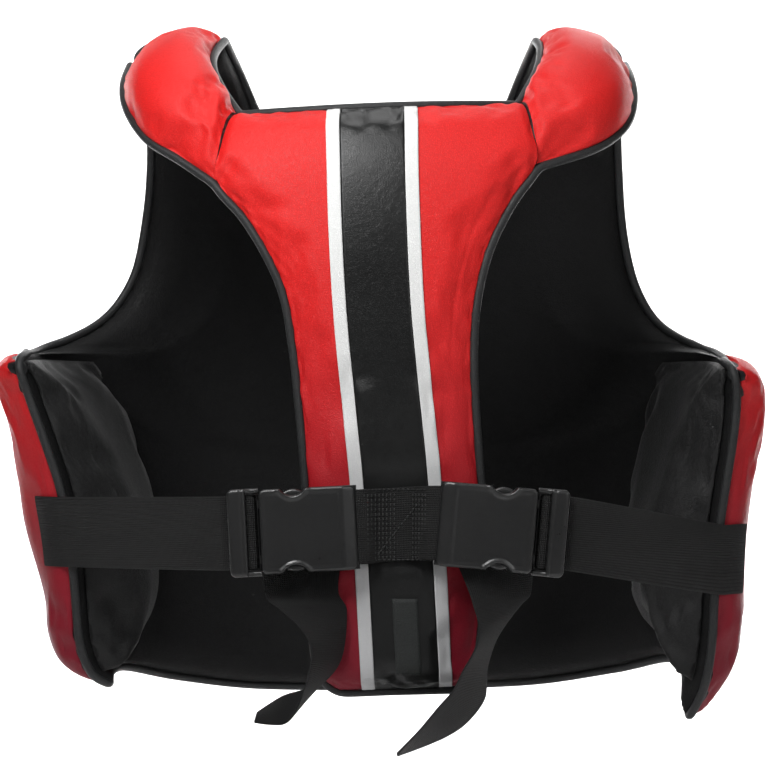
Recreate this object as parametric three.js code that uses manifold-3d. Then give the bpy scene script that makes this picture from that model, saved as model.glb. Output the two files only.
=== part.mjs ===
// Boxing chest guard: a thick padded front that wraps the ribs, pads over both shoulders, and a
// narrow padded back held closed by two webbing straps with side-release buckles.
// Millimetres. X to the wearer's right, Y forward out of the chest, Z up.
// The origin is where the guard sits on the shoulders: between the undersides of both shoulder pads.
import * as THREE from "three";
import { mergeVertices } from "three/addons/utils/BufferGeometryUtils.js";
import Module from "manifold-3d";

const wasm = await Module();
wasm.setup();

// Overall sizes of the sewn seam lines, which run at half the padding's thickness.
const HALF_WIDTH = 250;
const HALF_HEIGHT = 250;
const HALF_DEPTH = 125;

// Padding, measured out and in from the seam line.
const FRONT_OUT = 26;
const FRONT_IN = 17;
const FRONT_ROUNDING = 30;
const WING_OUT = 20;
const WING_IN = 12;
const SHOULDER_HALF = 11;
const SHOULDER_IN = 7;
const SHOULDER_ROUNDING = 18;
const BACK_HALF = 10;
const BACK_ROUNDING = 22;
const EDGE_HALF = 2;
const SEAM_GROOVE = 7;
const SEAM_KEPT = 0.72;
const LINING = 1.6;
const RIB_PAD = 36;
const RIB_ROUNDING = 62;
const RIB_TOP = 0.35;

// Small trim.
const GAP = 0.35;
const PIPING_RADIUS = 3;
const STRIPE = 1.2;
const LABEL_THICKNESS = 1;

// Webbing and buckles. Lengths along a buckle run outward from the bar that holds it.
const WEBBING_WIDTH = 48;
const WEBBING = 1.6;
const BAND = 3.4;
const BACK_BULGE = 1.14;
const BUCKLE_STANDOFF = 13.5;
const BUCKLE_FORWARD = -BACK_BULGE * HALF_DEPTH - BACK_HALF - BUCKLE_STANDOFF;
const BUCKLE_THICKNESS = 13;
const BUCKLE_CORNER = 4;
const SOCKET_BEVEL = 1.5;
const PLUG_BEVEL = 1;
const BAR_RADIUS = 2.2;
const SLOT_HALF = 24.7;
const SOCKET_HALF = 27;
const SOCKET_BODY = [7.4, 60.5];
const SOCKET_CAVITY = { from: 16, half: 21, thickness: 7 };
const NOTCH = { at: 39, radius: 9.5, depth: 4.5 };
const PLUG_HALF = 28;
const PLUG_THICKNESS = 5;
const PLUG_SPAN = [60.9, 81];
const PLUG_BARS = { inner: 62.2, slot: 65.4, bar: 68.4, slotEnd: 73.2, thickness: 2.2 };
const PRONG = { from: 27, half: 20.4, width: 5, thickness: 6 };
const FOLD_LAYERS = 2.1;

// Colours of the leatherette, lining, webbing and buckles.
const RED = { color: 0xc4201f, roughness: 0.5 };
const BLACK = { color: 0x161718, roughness: 0.6 };
const WHITE = { color: 0xe6e8e6, roughness: 0.5 };
const TRIM = { color: 0x2c2e2e, roughness: 0.55 };
const WEB = { color: 0x141414, roughness: 0.9 };
const PLASTIC = { color: 0x1b1c1d, roughness: 0.45 };

// Side view of the front's centre line from hem to shoulder crest. level is the height measured
// along the surface, so it goes on growing where the panel rolls back over the shoulder.
const FRONT_PROFILE = [
  { level: -0.92, up: -0.92, forward: 0.86 },
  { level: -0.6, up: -0.6, forward: 0.95 },
  { level: -0.2, up: -0.2, forward: 1.0 },
  { level: 0.12, up: 0.12, forward: 0.98 },
  { level: 0.36, up: 0.36, forward: 0.9 },
  { level: 0.57, up: 0.56, forward: 0.75 },
  { level: 0.78, up: 0.75, forward: 0.56 },
  { level: 0.96, up: 0.905, forward: 0.33 },
  { level: 1.12, up: 1.0, forward: 0.0 },
];

// The front's side seams from hem to crest: the wing's back edge up to its corner, then the armhole.
// turn is how far round the body the row wraps, in degrees.
const FRONT_SIDES = [
  { left: 0.765, leftLevel: -0.82, right: 0.84, rightLevel: -0.91, forward: -0.22, turn: 98 },
  { left: 0.805, leftLevel: -0.79, right: 0.876, rightLevel: -0.825, forward: -0.32, turn: 100 },
  { left: 0.836, leftLevel: -0.71, right: 0.895, rightLevel: -0.71, forward: -0.36, turn: 100 },
  { left: 0.848, leftLevel: -0.58, right: 0.902, rightLevel: -0.58, forward: -0.38, turn: 100 },
  { left: 0.862, leftLevel: -0.42, right: 0.91, rightLevel: -0.43, forward: -0.4, turn: 100 },
  { left: 0.888, leftLevel: -0.28, right: 0.93, rightLevel: -0.28, forward: -0.41, turn: 99 },
  { left: 0.93, leftLevel: -0.15, right: 0.95, rightLevel: -0.15, forward: -0.42, turn: 98 },
  { left: 0.972, leftLevel: -0.03, right: 0.96, rightLevel: -0.04, forward: -0.42, turn: 97 },
  { left: 1.0, leftLevel: 0.066, right: 0.95, rightLevel: 0.044, forward: -0.41, turn: 97 },
  { left: 0.968, leftLevel: 0.092, right: 0.918, rightLevel: 0.09, forward: 0.1, turn: 73 },
  { left: 0.9, leftLevel: 0.12, right: 0.85, rightLevel: 0.117, forward: 0.34, turn: 63 },
  { left: 0.82, leftLevel: 0.168, right: 0.78, rightLevel: 0.169, forward: 0.51, turn: 55 },
  { left: 0.762, leftLevel: 0.232, right: 0.733, rightLevel: 0.245, forward: 0.61, turn: 50 },
  { left: 0.713, leftLevel: 0.33, right: 0.702, rightLevel: 0.335, forward: 0.65, turn: 47 },
  { left: 0.685, leftLevel: 0.47, right: 0.679, rightLevel: 0.46, forward: 0.63, turn: 45 },
  { left: 0.668, leftLevel: 0.61, right: 0.666, rightLevel: 0.6, forward: 0.55, turn: 43 },
  { left: 0.662, leftLevel: 0.77, right: 0.656, rightLevel: 0.76, forward: 0.41, turn: 40 },
  { left: 0.672, leftLevel: 0.92, right: 0.654, rightLevel: 0.92, forward: 0.27, turn: 40 },
  { left: 0.686, leftLevel: 1.04, right: 0.656, rightLevel: 1.04, forward: 0.12, turn: 40 },
  { left: 0.7, leftLevel: 1.12, right: 0.66, rightLevel: 1.12, forward: 0.0, turn: 40 },
];
// How far the crest's outer end lies below its neck end.
const SHOULDER_SLOPE = 0.1;

// Where the columns of the front lie, as shares of the way from the centre to the side seam. The
// crest seam lies between NECK_SHARE and 1.
const NECK_SHARE = 0.62;
const FRONT_COLUMNS = [0, 0.18, 0.33, 0.45, 0.55, NECK_SHARE, 0.7, 0.79, 0.88, 0.93, 0.965, 0.986, 1];
const NECK_LOW = 0.56;
const NECK_SQUARENESS = 3.4;

// The front's hem from the centre to the side seam.
const FRONT_HEM = [
  { across: 0, left: -0.878, right: -0.878 },
  { across: 0.3, left: -0.865, right: -0.855 },
  { across: 0.52, left: -0.83, right: -0.81 },
  { across: 0.75, left: -0.79, right: -0.765 },
  { across: 0.9, left: -0.795, right: -0.805 },
  { across: 1, left: -0.82, right: -0.91 },
];

// Outer edge of each shoulder pad from the crest seam down to the back seam.
const SHOULDER_EDGE = [
  { left: 0.7, leftUp: 0.92, right: 0.66, rightUp: 0.92, forward: 0.0 },
  { left: 0.71, leftUp: 0.85, right: 0.668, rightUp: 0.862, forward: -0.28 },
  { left: 0.702, leftUp: 0.785, right: 0.67, rightUp: 0.79, forward: -0.47 },
  { left: 0.672, leftUp: 0.72, right: 0.65, rightUp: 0.722, forward: -0.64 },
  { left: 0.625, leftUp: 0.66, right: 0.608, rightUp: 0.672, forward: -0.78 },
  { left: 0.545, leftUp: 0.608, right: 0.535, rightUp: 0.628, forward: -0.89 },
  { left: 0.44, leftUp: 0.535, right: 0.395, rightUp: 0.58, forward: -1.0 },
];
// Neck edge of each shoulder pad, in the same rows.
const SHOULDER_NECK = [
  { left: 0.45, leftUp: 0.968, right: 0.44, rightUp: 0.968, forward: 0.0 },
  { left: 0.468, leftUp: 0.937, right: 0.446, rightUp: 0.94, forward: -0.16 },
  { left: 0.478, leftUp: 0.902, right: 0.44, rightUp: 0.905, forward: -0.32 },
  { left: 0.474, leftUp: 0.862, right: 0.428, rightUp: 0.868, forward: -0.46 },
  { left: 0.456, leftUp: 0.818, right: 0.41, rightUp: 0.83, forward: -0.58 },
  { left: 0.428, leftUp: 0.768, right: 0.386, rightUp: 0.787, forward: -0.68 },
  { left: 0.392, leftUp: 0.715, right: 0.36, rightUp: 0.742, forward: -0.76 },
];
const SHOULDER_COLUMNS = [0, 0.1, 1 / 3, 1 / 2, 2 / 3, 0.9, 1];
const SHOULDER_CROWN = 12;

// The back panel from the neck to its hem: half-widths from the centre plane to each side seam. The
// shoulder pads are sewn to its first rows, down to SHOULDER_SEAM_ROW.
const BACK_SIDES = [
  { left: 0.392, leftUp: 0.715, right: 0.36, rightUp: 0.742, side: -0.76, middle: -0.93 },
  { left: 0.41, leftUp: 0.672, right: 0.37, rightUp: 0.705, side: -0.85, middle: -0.98 },
  { left: 0.427, leftUp: 0.61, right: 0.383, rightUp: 0.65, side: -0.93, middle: -1.03 },
  { left: 0.44, leftUp: 0.535, right: 0.395, rightUp: 0.58, side: -1.0, middle: -1.07 },
  { left: 0.364, leftUp: 0.444, right: 0.328, rightUp: 0.484, side: -1.05, middle: -1.1 },
  { left: 0.3, leftUp: 0.34, right: 0.266, rightUp: 0.36, side: -1.09, middle: -1.12 },
  { left: 0.256, leftUp: 0.236, right: 0.232, rightUp: 0.224, side: -1.11, middle: -1.13 },
  { left: 0.232, leftUp: 0.1, right: 0.222, rightUp: 0.09, side: -1.12, middle: -1.14 },
  { left: 0.216, leftUp: -0.05, right: 0.226, rightUp: -0.05, side: -1.12, middle: -1.14 },
  { left: 0.2, leftUp: -0.24, right: 0.24, rightUp: -0.24, side: -1.12, middle: -1.14 },
  { left: 0.192, leftUp: -0.42, right: 0.252, rightUp: -0.42, side: -1.12, middle: -1.14 },
  { left: 0.187, leftUp: -0.552, right: 0.248, rightUp: -0.552, side: -1.11, middle: -1.13 },
  { left: 0.18, leftUp: -0.66, right: 0.238, rightUp: -0.66, side: -1.1, middle: -1.12 },
  { left: 0.166, leftUp: -0.748, right: 0.222, rightUp: -0.748, side: -1.1, middle: -1.12 },
  { left: 0.146, leftUp: -0.778, right: 0.212, rightUp: -0.77, side: -1.09, middle: -1.11 },
  { left: 0.116, leftUp: -0.797, right: 0.196, rightUp: -0.787, side: -1.09, middle: -1.1 },
];
const SHOULDER_SEAM_ROW = 3;
// Columns beside the stripes, as shares of the way from the stripes to the side seam.
const BACK_COLUMNS = [1, 0.9, 0.62, 0.25];

// The stripe's centre line down the back.
const STRIPE_LINE = [
  { up: 0.8, across: -0.034 },
  { up: 0.5, across: -0.03 },
  { up: 0.22, across: -0.018 },
  { up: 0, across: 0.002 },
  { up: -0.25, across: 0.027 },
  { up: -0.48, across: 0.041 },
  { up: -0.84, across: 0.06 },
];
// Columns that the stripes and the blank label share, in millimetres beside the centre line.
const STRIPE_COLUMNS = [-29.25, -20.75, -7, 9.5, 20.75, 29.25];
const LABEL_ROWS = [11, 13];

// Each buckle: where its bar hangs, how far it droops, where its webbing folds down behind it, and
// the height of its strap on the wing.
const BUCKLES = {
  left: { bar: -0.078, up: -0.366, tilt: 3, fold: 34.5, wing: -0.4, knee: -0.42 },
  right: { bar: 0.144, up: -0.356, tilt: 5, fold: 36, wing: -0.476, knee: -0.43 },
};
const STRAP_SHARES = [0.88, 0.93, 0.965, 0.986];

// The loose ends, from below the fold behind the buckle to the tip. The width columns give the
// direction across the webbing, from the left edge to the right.
const TAILS = {
  left: [
    { x: -0.216, up: -0.54, forward: -1.26, widthX: 1, widthY: 0, widthUp: 0 },
    { x: -0.162, up: -0.61, forward: -1.4, widthX: 0.66, widthY: 0.75, widthUp: 0 },
    { x: -0.148, up: -0.688, forward: -1.43, widthX: 0.4, widthY: 0.91, widthUp: -0.1 },
    { x: -0.174, up: -0.768, forward: -1.41, widthX: 0.38, widthY: 0.9, widthUp: 0.2 },
    { x: -0.216, up: -0.82, forward: -1.37, widthX: 0.3, widthY: 0.88, widthUp: 0.36 },
    { x: -0.272, up: -0.838, forward: -1.33, widthX: 0.1, widthY: 0.95, widthUp: 0.3 },
    { x: -0.334, up: -0.85, forward: -1.28, widthX: 0, widthY: 0.99, widthUp: 0.1 },
  ],
  right: [
    { x: 0.29, up: -0.54, forward: -1.26, widthX: 1, widthY: 0, widthUp: 0 },
    { x: 0.264, up: -0.6, forward: -1.35, widthX: 0.6, widthY: 0.8, widthUp: 0 },
    { x: 0.246, up: -0.664, forward: -1.38, widthX: 0.3, widthY: 0.95, widthUp: 0 },
    { x: 0.232, up: -0.732, forward: -1.4, widthX: 0.34, widthY: 0.93, widthUp: -0.1 },
    { x: 0.216, up: -0.796, forward: -1.38, widthX: 0.45, widthY: 0.86, widthUp: -0.2 },
    { x: 0.168, up: -0.856, forward: -1.35, widthX: 0.35, widthY: 0.87, widthUp: -0.35 },
    { x: 0.104, up: -0.908, forward: -1.31, widthX: 0.15, widthY: 0.93, widthUp: -0.3 },
    { x: 0.032, up: -0.956, forward: -1.28, widthX: 0, widthY: 0.98, widthUp: -0.15 },
  ],
};

const V = (x, y, z) => new THREE.Vector3(x, y, z);
const mix = (a, b, t) => a + (b - a) * t;

// A smooth curve through one named column of a table, read at a value of another column.
function column(rows, from, to) {
  const xs = rows.map((r) => r[from]);
  const ys = rows.map((r) => r[to]);
  const slopes = xs.map((_, i) => {
    const a = Math.max(i - 1, 0);
    const b = Math.min(i + 1, xs.length - 1);
    return (ys[b] - ys[a]) / (xs[b] - xs[a]);
  });
  const rising = xs[1] > xs[0];
  return (x) => {
    let i = 0;
    while (i < xs.length - 2 && (rising ? x > xs[i + 1] : x < xs[i + 1])) i++;
    const w = xs[i + 1] - xs[i];
    const t = THREE.MathUtils.clamp((x - xs[i]) / w, 0, 1);
    const t2 = t * t;
    const t3 = t2 * t;
    return (
      (2 * t3 - 3 * t2 + 1) * ys[i] +
      (t3 - 2 * t2 + t) * w * slopes[i] +
      (-2 * t3 + 3 * t2) * ys[i + 1] +
      (t3 - t2) * w * slopes[i + 1]
    );
  };
}

const profileUp = column(FRONT_PROFILE, "level", "up");
const profileForward = column(FRONT_PROFILE, "level", "forward");
const hem = { left: column(FRONT_HEM, "across", "left"), right: column(FRONT_HEM, "across", "right") };
const stripeAcross = column(STRIPE_LINE, "up", "across");

const CREST_LEVEL = FRONT_PROFILE[FRONT_PROFILE.length - 1].level;
const CREST_ROW = FRONT_SIDES.length - 1;

// Level of the front's upper edge: the neckline's scoop, then the crest seam.
function topLevel(share) {
  if (share >= NECK_SHARE) return CREST_LEVEL;
  return mix(NECK_LOW, CREST_LEVEL, (share / NECK_SHARE) ** NECK_SQUARENESS);
}

// A point of the front's seam layer: signed share u across, and a row of FRONT_SIDES.
function frontPoint(u, row) {
  const side = u < 0 ? "left" : "right";
  const share = Math.abs(u);
  const s = FRONT_SIDES[row];
  const across = (name) => mix(name("left"), name("right"), (u + 1) / 2);
  const seamLevel = (r) => across((name) => FRONT_SIDES[r][name + "Level"]);
  const bottom = seamLevel(0);
  const rise = (seamLevel(row) - bottom) / (CREST_LEVEL - bottom);
  const hemDrop = (hem[side](share) - bottom) * (1 - rise) ** 3;
  const level = seamLevel(row) + hemDrop + (topLevel(share) - CREST_LEVEL) * rise;
  const edgeLevel = s[side + "Level"];
  const turn = THREE.MathUtils.degToRad(s.turn);
  const round = (1 - Math.cos(share * turn)) / (1 - Math.cos(turn));
  const slope = SHOULDER_SLOPE * THREE.MathUtils.smoothstep(edgeLevel, 0.6, CREST_LEVEL);
  return V(
    (Math.sign(u) * s[side] * HALF_WIDTH * Math.sin(share * turn)) / Math.sin(turn),
    (profileForward(level) + (s.forward - profileForward(edgeLevel)) * round) * HALF_DEPTH,
    (profileUp(level) - slope * round) * HALF_HEIGHT,
  );
}

// A point of the back panel's seam layer: a column counted from the left, and a row of BACK_SIDES.
function backPoint(i, row) {
  const s = BACK_SIDES[row];
  const beside = BACK_COLUMNS.length;
  const across = stripeAcross(mix(s.leftUp, s.rightUp, 0.5)) * HALF_WIDTH;
  const last = 2 * beside + STRIPE_COLUMNS.length - 1;
  const [west, east] = [STRIPE_COLUMNS[0], STRIPE_COLUMNS[STRIPE_COLUMNS.length - 1]];
  let x = across + STRIPE_COLUMNS[THREE.MathUtils.clamp(i - beside, 0, STRIPE_COLUMNS.length - 1)];
  if (i < beside) x = mix(across + west, -s.left * HALF_WIDTH, BACK_COLUMNS[i]);
  if (i > last - beside) x = mix(across + east, s.right * HALF_WIDTH, BACK_COLUMNS[last - i]);
  const u = x < 0 ? x / s.left / HALF_WIDTH : x / s.right / HALF_WIDTH;
  return V(
    x,
    mix(s.middle, s.side, u * u) * HALF_DEPTH,
    mix(s.leftUp, s.rightUp, (u + 1) / 2) * HALF_HEIGHT,
  );
}

// A grid of points from a function of column and row.
const grid = (columns, rows, at) => rows.map((r) => columns.map((c) => at(c, r)));
const indices = (rows) => rows.map((_, i) => i);

// The faces of a grid of points, two to a cell.
function cellFaces(rows, columns) {
  const faces = [];
  for (let j = 0; j < rows - 1; j++)
    for (let i = 0; i < columns - 1; i++) {
      const a = j * columns + i;
      const b = a + columns;
      faces.push(a, a + 1, b + 1, a, b + 1, b);
    }
  return faces;
}

// Unit normals of a grid of points. away is a direction that they roughly follow at its middle.
function normalsOf(points, away) {
  const columns = points[0].length;
  const sheet = new THREE.BufferGeometry().setFromPoints(points.flat());
  sheet.setIndex(cellFaces(points.length, columns));
  sheet.computeVertexNormals();
  const normals = points.map((line, j) =>
    line.map((_, i) => new THREE.Vector3().fromBufferAttribute(sheet.attributes.normal, j * columns + i)),
  );
  const middle = normals[points.length >> 1][columns >> 1];
  if (middle.dot(away) < 0) normals.flat().forEach((n) => n.negate());
  return normals;
}

// The boundary of a grid as one loop, each with the direction that points away from the sheet.
function rim(points, from = 0) {
  const last = points.length - 1;
  const end = points[0].length - 1;
  const loop = [];
  for (let i = 0; i < end; i++) loop.push([0, i]);
  for (let j = 0; j < last; j++) loop.push([j, end]);
  for (let i = end; i > 0; i--) loop.push([last, i]);
  for (let j = last; j > 0; j--) loop.push([j, 0]);
  return loop.slice(from).concat(loop.slice(0, from));
}

// Closed solid between two grids of the same size: one faces out, the other in.
function solidBetween(outer, inner) {
  const rows = outer.length;
  const columns = outer[0].length;
  const position = [...outer.flat(), ...inner.flat()].flatMap((p) => [p.x, p.y, p.z]);
  const back = rows * columns;
  const front = cellFaces(rows, columns);
  const faces = [...front, ...front.map((k) => back + k).reverse()];
  const quad = (a, b, c, d) => faces.push(a, b, c, a, c, d);
  const id = (j, i) => j * columns + i;
  const loop = rim(outer).map(([j, i]) => id(j, i));
  loop.forEach((a, k) => {
    const b = loop[(k + 1) % loop.length];
    quad(a, back + a, back + b, b);
  });
  return facingOut(position, faces);
}

// Geometry from positions and faces, turned round if its faces point in.
function facingOut(position, faces) {
  let volume = 0;
  const at = (k) => V(position[3 * k], position[3 * k + 1], position[3 * k + 2]);
  for (let k = 0; k < faces.length; k += 3)
    volume += at(faces[k]).dot(at(faces[k + 1]).cross(at(faces[k + 2])));
  if (volume < 0)
    for (let k = 0; k < faces.length; k += 3) [faces[k], faces[k + 1]] = [faces[k + 1], faces[k]];
  const geometry = new THREE.BufferGeometry();
  geometry.setAttribute("position", new THREE.Float32BufferAttribute(position, 3));
  geometry.setIndex(faces);
  geometry.computeVertexNormals();
  return geometry;
}

// Distance from a point to a run of straight stretches.
function distanceTo(p, line) {
  const near = new THREE.Vector3();
  let best = Infinity;
  for (let k = 0; k + 1 < line.length; k++) {
    new THREE.Line3(line[k], line[k + 1]).closestPointToPoint(p, true, near);
    best = Math.min(best, near.distanceTo(p));
  }
  return best;
}

// Share of full thickness at a distance from a free edge: a quarter-round.
const rounded = (distance, radius) => Math.sqrt(1 - (1 - Math.min(distance / radius, 1)) ** 2);
// Share of full thickness near a sewn seam: a shallow groove.
const grooved = (distance) =>
  mix(SEAM_KEPT, 1, THREE.MathUtils.smoothstep(distance, 0, SEAM_GROOVE));

// Offsets a grid along its normals by a share of a thickness at each point.
function offset(points, normals, amount) {
  return points.map((line, j) =>
    line.map((p, i) => p.clone().addScaledVector(normals[j][i], amount(j, i))),
  );
}

// A round tube through stations, closed or open, whose section turns with the path.
function tube(stations, radius, sides, closed) {
  const count = stations.length;
  const position = [];
  const faces = [];
  let normal = null;
  const tangents = stations.map((_, k) => {
    const a = stations[closed ? (k + count - 1) % count : Math.max(k - 1, 0)];
    const b = stations[closed ? (k + 1) % count : Math.min(k + 1, count - 1)];
    return b.clone().sub(a).normalize();
  });
  stations.forEach((p, k) => {
    const t = tangents[k];
    normal = normal ?? (Math.abs(t.z) < 0.9 ? V(0, 0, 1) : V(1, 0, 0));
    normal = normal.clone().addScaledVector(t, -normal.dot(t)).normalize();
    const side = t.clone().cross(normal);
    for (let s = 0; s < sides; s++) {
      const angle = (2 * Math.PI * (s + 0.5)) / sides;
      const q = p
        .clone()
        .addScaledVector(normal, Math.cos(angle) * radius)
        .addScaledVector(side, Math.sin(angle) * radius);
      position.push(q.x, q.y, q.z);
    }
  });
  const lengths = closed ? count : count - 1;
  const first = V(position[0], position[1], position[2]);
  const lastRing = (count - 1) * sides;
  let shift = 0;
  if (closed) {
    let best = Infinity;
    for (let s = 0; s < sides; s++) {
      const k = 3 * (lastRing + s);
      const d = first.distanceTo(V(position[k], position[k + 1], position[k + 2]));
      if (d < best) [best, shift] = [d, s];
    }
  }
  for (let k = 0; k < lengths; k++) {
    const wrap = k === count - 1;
    for (let s = 0; s < sides; s++) {
      const n = (s + 1) % sides;
      const next = ((k + 1) % count) * sides;
      const from = wrap ? (x) => k * sides + ((x + shift) % sides) : (x) => k * sides + x;
      const [a, b, c, d] = [from(s), from(n), next + n, next + s];
      faces.push(a, b, c, a, c, d);
    }
  }
  if (!closed)
    for (let s = 1; s < sides - 1; s++)
      faces.push(0, s + 1, s, lastRing, lastRing + s, lastRing + s + 1);
  return facingOut(position, faces);
}

// A path beside part of a grid's rim, at a distance out from the edge and mitred at its corners.
// The cells run so that normal x run points off the sheet.
function besideRim(points, normals, cells, distance, closed = false) {
  const count = cells.length;
  return cells.map(([j, i], k) => {
    const neighbours = [k - 1, k, k + 1].map((n) =>
      closed ? (n + count) % count : THREE.MathUtils.clamp(n, 0, count - 1),
    );
    const stations = neighbours.map((n) => points[cells[n][0]][cells[n][1]]);
    const runs = [stations[1].clone().sub(stations[0]), stations[2].clone().sub(stations[1])];
    const outs = runs
      .filter((run) => run.length() > 0)
      .map((run) => normals[j][i].clone().cross(run).normalize());
    const [first, second] = [outs[0], outs[outs.length - 1]];
    const mitre = distance / (1 + Math.max(first.dot(second), -0.4));
    return stations[1].clone().addScaledVector(first.clone().add(second), mitre);
  });
}

const vest = new THREE.Group();
function add(name, geometry, look) {
  const mesh = new THREE.Mesh(geometry, new THREE.MeshStandardMaterial(look));
  mesh.name = name;
  vest.add(mesh);
  return mesh;
}

// Front: the thick outer block, its thin lining and a rib pad in each wing.
const frontColumns = [...FRONT_COLUMNS.slice(1).reverse().map((c) => -c), ...FRONT_COLUMNS];
const frontRows = indices(FRONT_SIDES);
const front = grid(frontColumns, frontRows, frontPoint);
const frontNormals = normalsOf(front, V(0, 1, 0));
// Below the chest the guard stands upright, so its padding swells level.
const frontFaces = frontNormals.map((line) => line.map((n) => n.clone()));
frontNormals.forEach((line, j) =>
  line.forEach((n, i) => {
    for (const [dj, di] of [[-1, 0], [1, 0], [0, -1], [0, 1]]) n.add(frontFaces[j + dj]?.[i + di] ?? n);
    n.z *= THREE.MathUtils.smoothstep(front[j][i].z / HALF_HEIGHT, 0.1, 0.5);
    if (j === CREST_ROW && Math.abs(frontColumns[i]) >= NECK_SHARE) n.y = 0;
    n.normalize();
  }),
);
const centreColumn = FRONT_COLUMNS.length - 1;
const neckColumn = FRONT_COLUMNS.indexOf(NECK_SHARE);
const [leftNeck, rightNeck] = [centreColumn - neckColumn, centreColumn + neckColumn];
const crestLine = front[CREST_ROW];
const leftCrest = crestLine.slice(0, leftNeck + 1);
const rightCrest = crestLine.slice(rightNeck);
const freeEdges = [
  front[0],
  front.map((line) => line[0]),
  front.map((line) => line[line.length - 1]),
  crestLine.slice(leftNeck, rightNeck + 1),
];

// Thickness thins from the chest to the shoulders and to the wings.
const shoulderShare = (p) => THREE.MathUtils.smoothstep(p.z / HALF_HEIGHT, 0.25, 0.9);
const wingShare = (i) => THREE.MathUtils.smoothstep(Math.abs(frontColumns[i]), 0.35, 0.8);
const frontShare = front.map((line) =>
  line.map((p) => {
    const free = Math.min(...freeEdges.map((edge) => distanceTo(p, edge)));
    const sewn = Math.min(distanceTo(p, leftCrest), distanceTo(p, rightCrest));
    const radius = mix(FRONT_ROUNDING, SHOULDER_ROUNDING, shoulderShare(p));
    return rounded(free, radius) * grooved(sewn);
  }),
);
function thickness(chest, wing, shoulder) {
  return (j, i) => {
    const full = mix(mix(chest, wing, wingShare(i)), shoulder, shoulderShare(front[j][i]));
    return mix(EDGE_HALF, full, frontShare[j][i]);
  };
}
const outHalf = thickness(FRONT_OUT, WING_OUT, SHOULDER_HALF);
const inHalf = thickness(FRONT_IN, WING_IN, SHOULDER_IN);
const liningFace = GAP + LINING;
const frontOuter = offset(front, frontNormals, outHalf);
const frontInner = offset(front, frontNormals, (j, i) => -inHalf(j, i));
add("front_shell", solidBetween(frontOuter, frontInner), RED);
add(
  "front_lining",
  solidBetween(
    offset(front, frontNormals, (j, i) => -inHalf(j, i) - GAP),
    offset(front, frontNormals, (j, i) => -inHalf(j, i) - liningFace),
  ),
  BLACK,
);

// The pads inside the wings, which fill the hollow at the ribs.
const RIB_ROWS = [1, 8];
const RIB_COLUMNS = [0.45, 0.986];
function ribPad(sign) {
  const [far, near] = RIB_COLUMNS.map((share) => frontColumns.indexOf(sign * share));
  const [from, to] = [Math.min(far, near), Math.max(far, near)];
  const part = (points) =>
    points.slice(RIB_ROWS[0], RIB_ROWS[1] + 1).map((line) => line.slice(from, to + 1));
  const sheet = part(front);
  const outline = rim(sheet).map(([j, i]) => sheet[j][i]);
  outline.push(outline[0]);
  const base = part(offset(front, frontNormals, (j, i) => -inHalf(j, i) - liningFace - GAP));
  const low = ({ z }) => mix(RIB_TOP, 1, THREE.MathUtils.smoothstep(-z / HALF_HEIGHT, -0.05, 0.6));
  const swell = (j, i) => {
    const p = sheet[j][i];
    return 1 + RIB_PAD * low(p) * rounded(distanceTo(p, outline), RIB_ROUNDING);
  };
  return solidBetween(base, offset(base, part(frontNormals), (j, i) => -swell(j, i)));
}
add("rib_pad_left", ribPad(-1), BLACK);
add("rib_pad_right", ribPad(1), BLACK);

// Back panel: padded cover, lining, and stripes sewn on down its middle.
const backColumns = indices([...BACK_COLUMNS, ...STRIPE_COLUMNS, ...BACK_COLUMNS]);
const backEnd = backColumns.length - 1;
const backLast = BACK_SIDES.length - 1;
const back = grid(backColumns, indices(BACK_SIDES), backPoint);
const backNormals = normalsOf(back, V(0, -1, 0));
const backSeams = [0, backEnd].map((i) =>
  back.slice(0, SHOULDER_SEAM_ROW + 1).map((line) => line[i]),
);
const backFree = [
  back[0],
  back[backLast],
  ...[0, backEnd].map((i) => back.slice(SHOULDER_SEAM_ROW).map((line) => line[i])),
];
const backShare = back.map((line) =>
  line.map((p) => {
    const free = Math.min(...backFree.map((edge) => distanceTo(p, edge)));
    const sewn = Math.min(...backSeams.map((edge) => distanceTo(p, edge)));
    return rounded(free, BACK_ROUNDING) * grooved(sewn);
  }),
);
const backHalf = (j, i) => mix(EDGE_HALF, BACK_HALF, backShare[j][i]);
const backOuter = offset(back, backNormals, backHalf);
add("back_panel", solidBetween(backOuter, offset(back, backNormals, (j, i) => -backHalf(j, i))), RED);
add(
  "back_lining",
  solidBetween(
    offset(back, backNormals, (j, i) => -backHalf(j, i) - GAP),
    offset(back, backNormals, (j, i) => -backHalf(j, i) - liningFace),
  ),
  BLACK,
);

// A flat piece laid over some columns and rows of the back panel, between two heights off its cover.
function laidOnBack(columns, rows, low, high) {
  const inset = (points) =>
    points.slice(rows[0], rows[1] + 1).map((line) => {
      const cut = line.slice(columns[0], columns[1] + 1);
      const end = cut.length - 1;
      const shift = (a, b) => a.clone().addScaledVector(b.clone().sub(a).normalize(), GAP / 2);
      return cut.map((p, i) => (i === 0 ? shift(p, cut[1]) : i === end ? shift(p, cut[end - 1]) : p));
    });
  const sheet = (height) => inset(offset(backOuter, backNormals, () => height));
  return solidBetween(sheet(high), sheet(low));
}
const firstStripe = BACK_COLUMNS.length;
const [stripeLow, stripeHigh] = [GAP, GAP + STRIPE];
const wholeBack = [0, backLast];
const stripe = (from, to) =>
  laidOnBack([firstStripe + from, firstStripe + to], wholeBack, stripeLow, stripeHigh);
add("stripe_white_left", stripe(0, 1), WHITE);
add("stripe_black", stripe(1, 4), BLACK);
add("stripe_white_right", stripe(4, 5), WHITE);
const labelLow = stripeHigh + GAP;
const labelColumns = [firstStripe + 2, firstStripe + 3];
add("blank_label", laidOnBack(labelColumns, LABEL_ROWS, labelLow, labelLow + LABEL_THICKNESS), TRIM);

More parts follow.
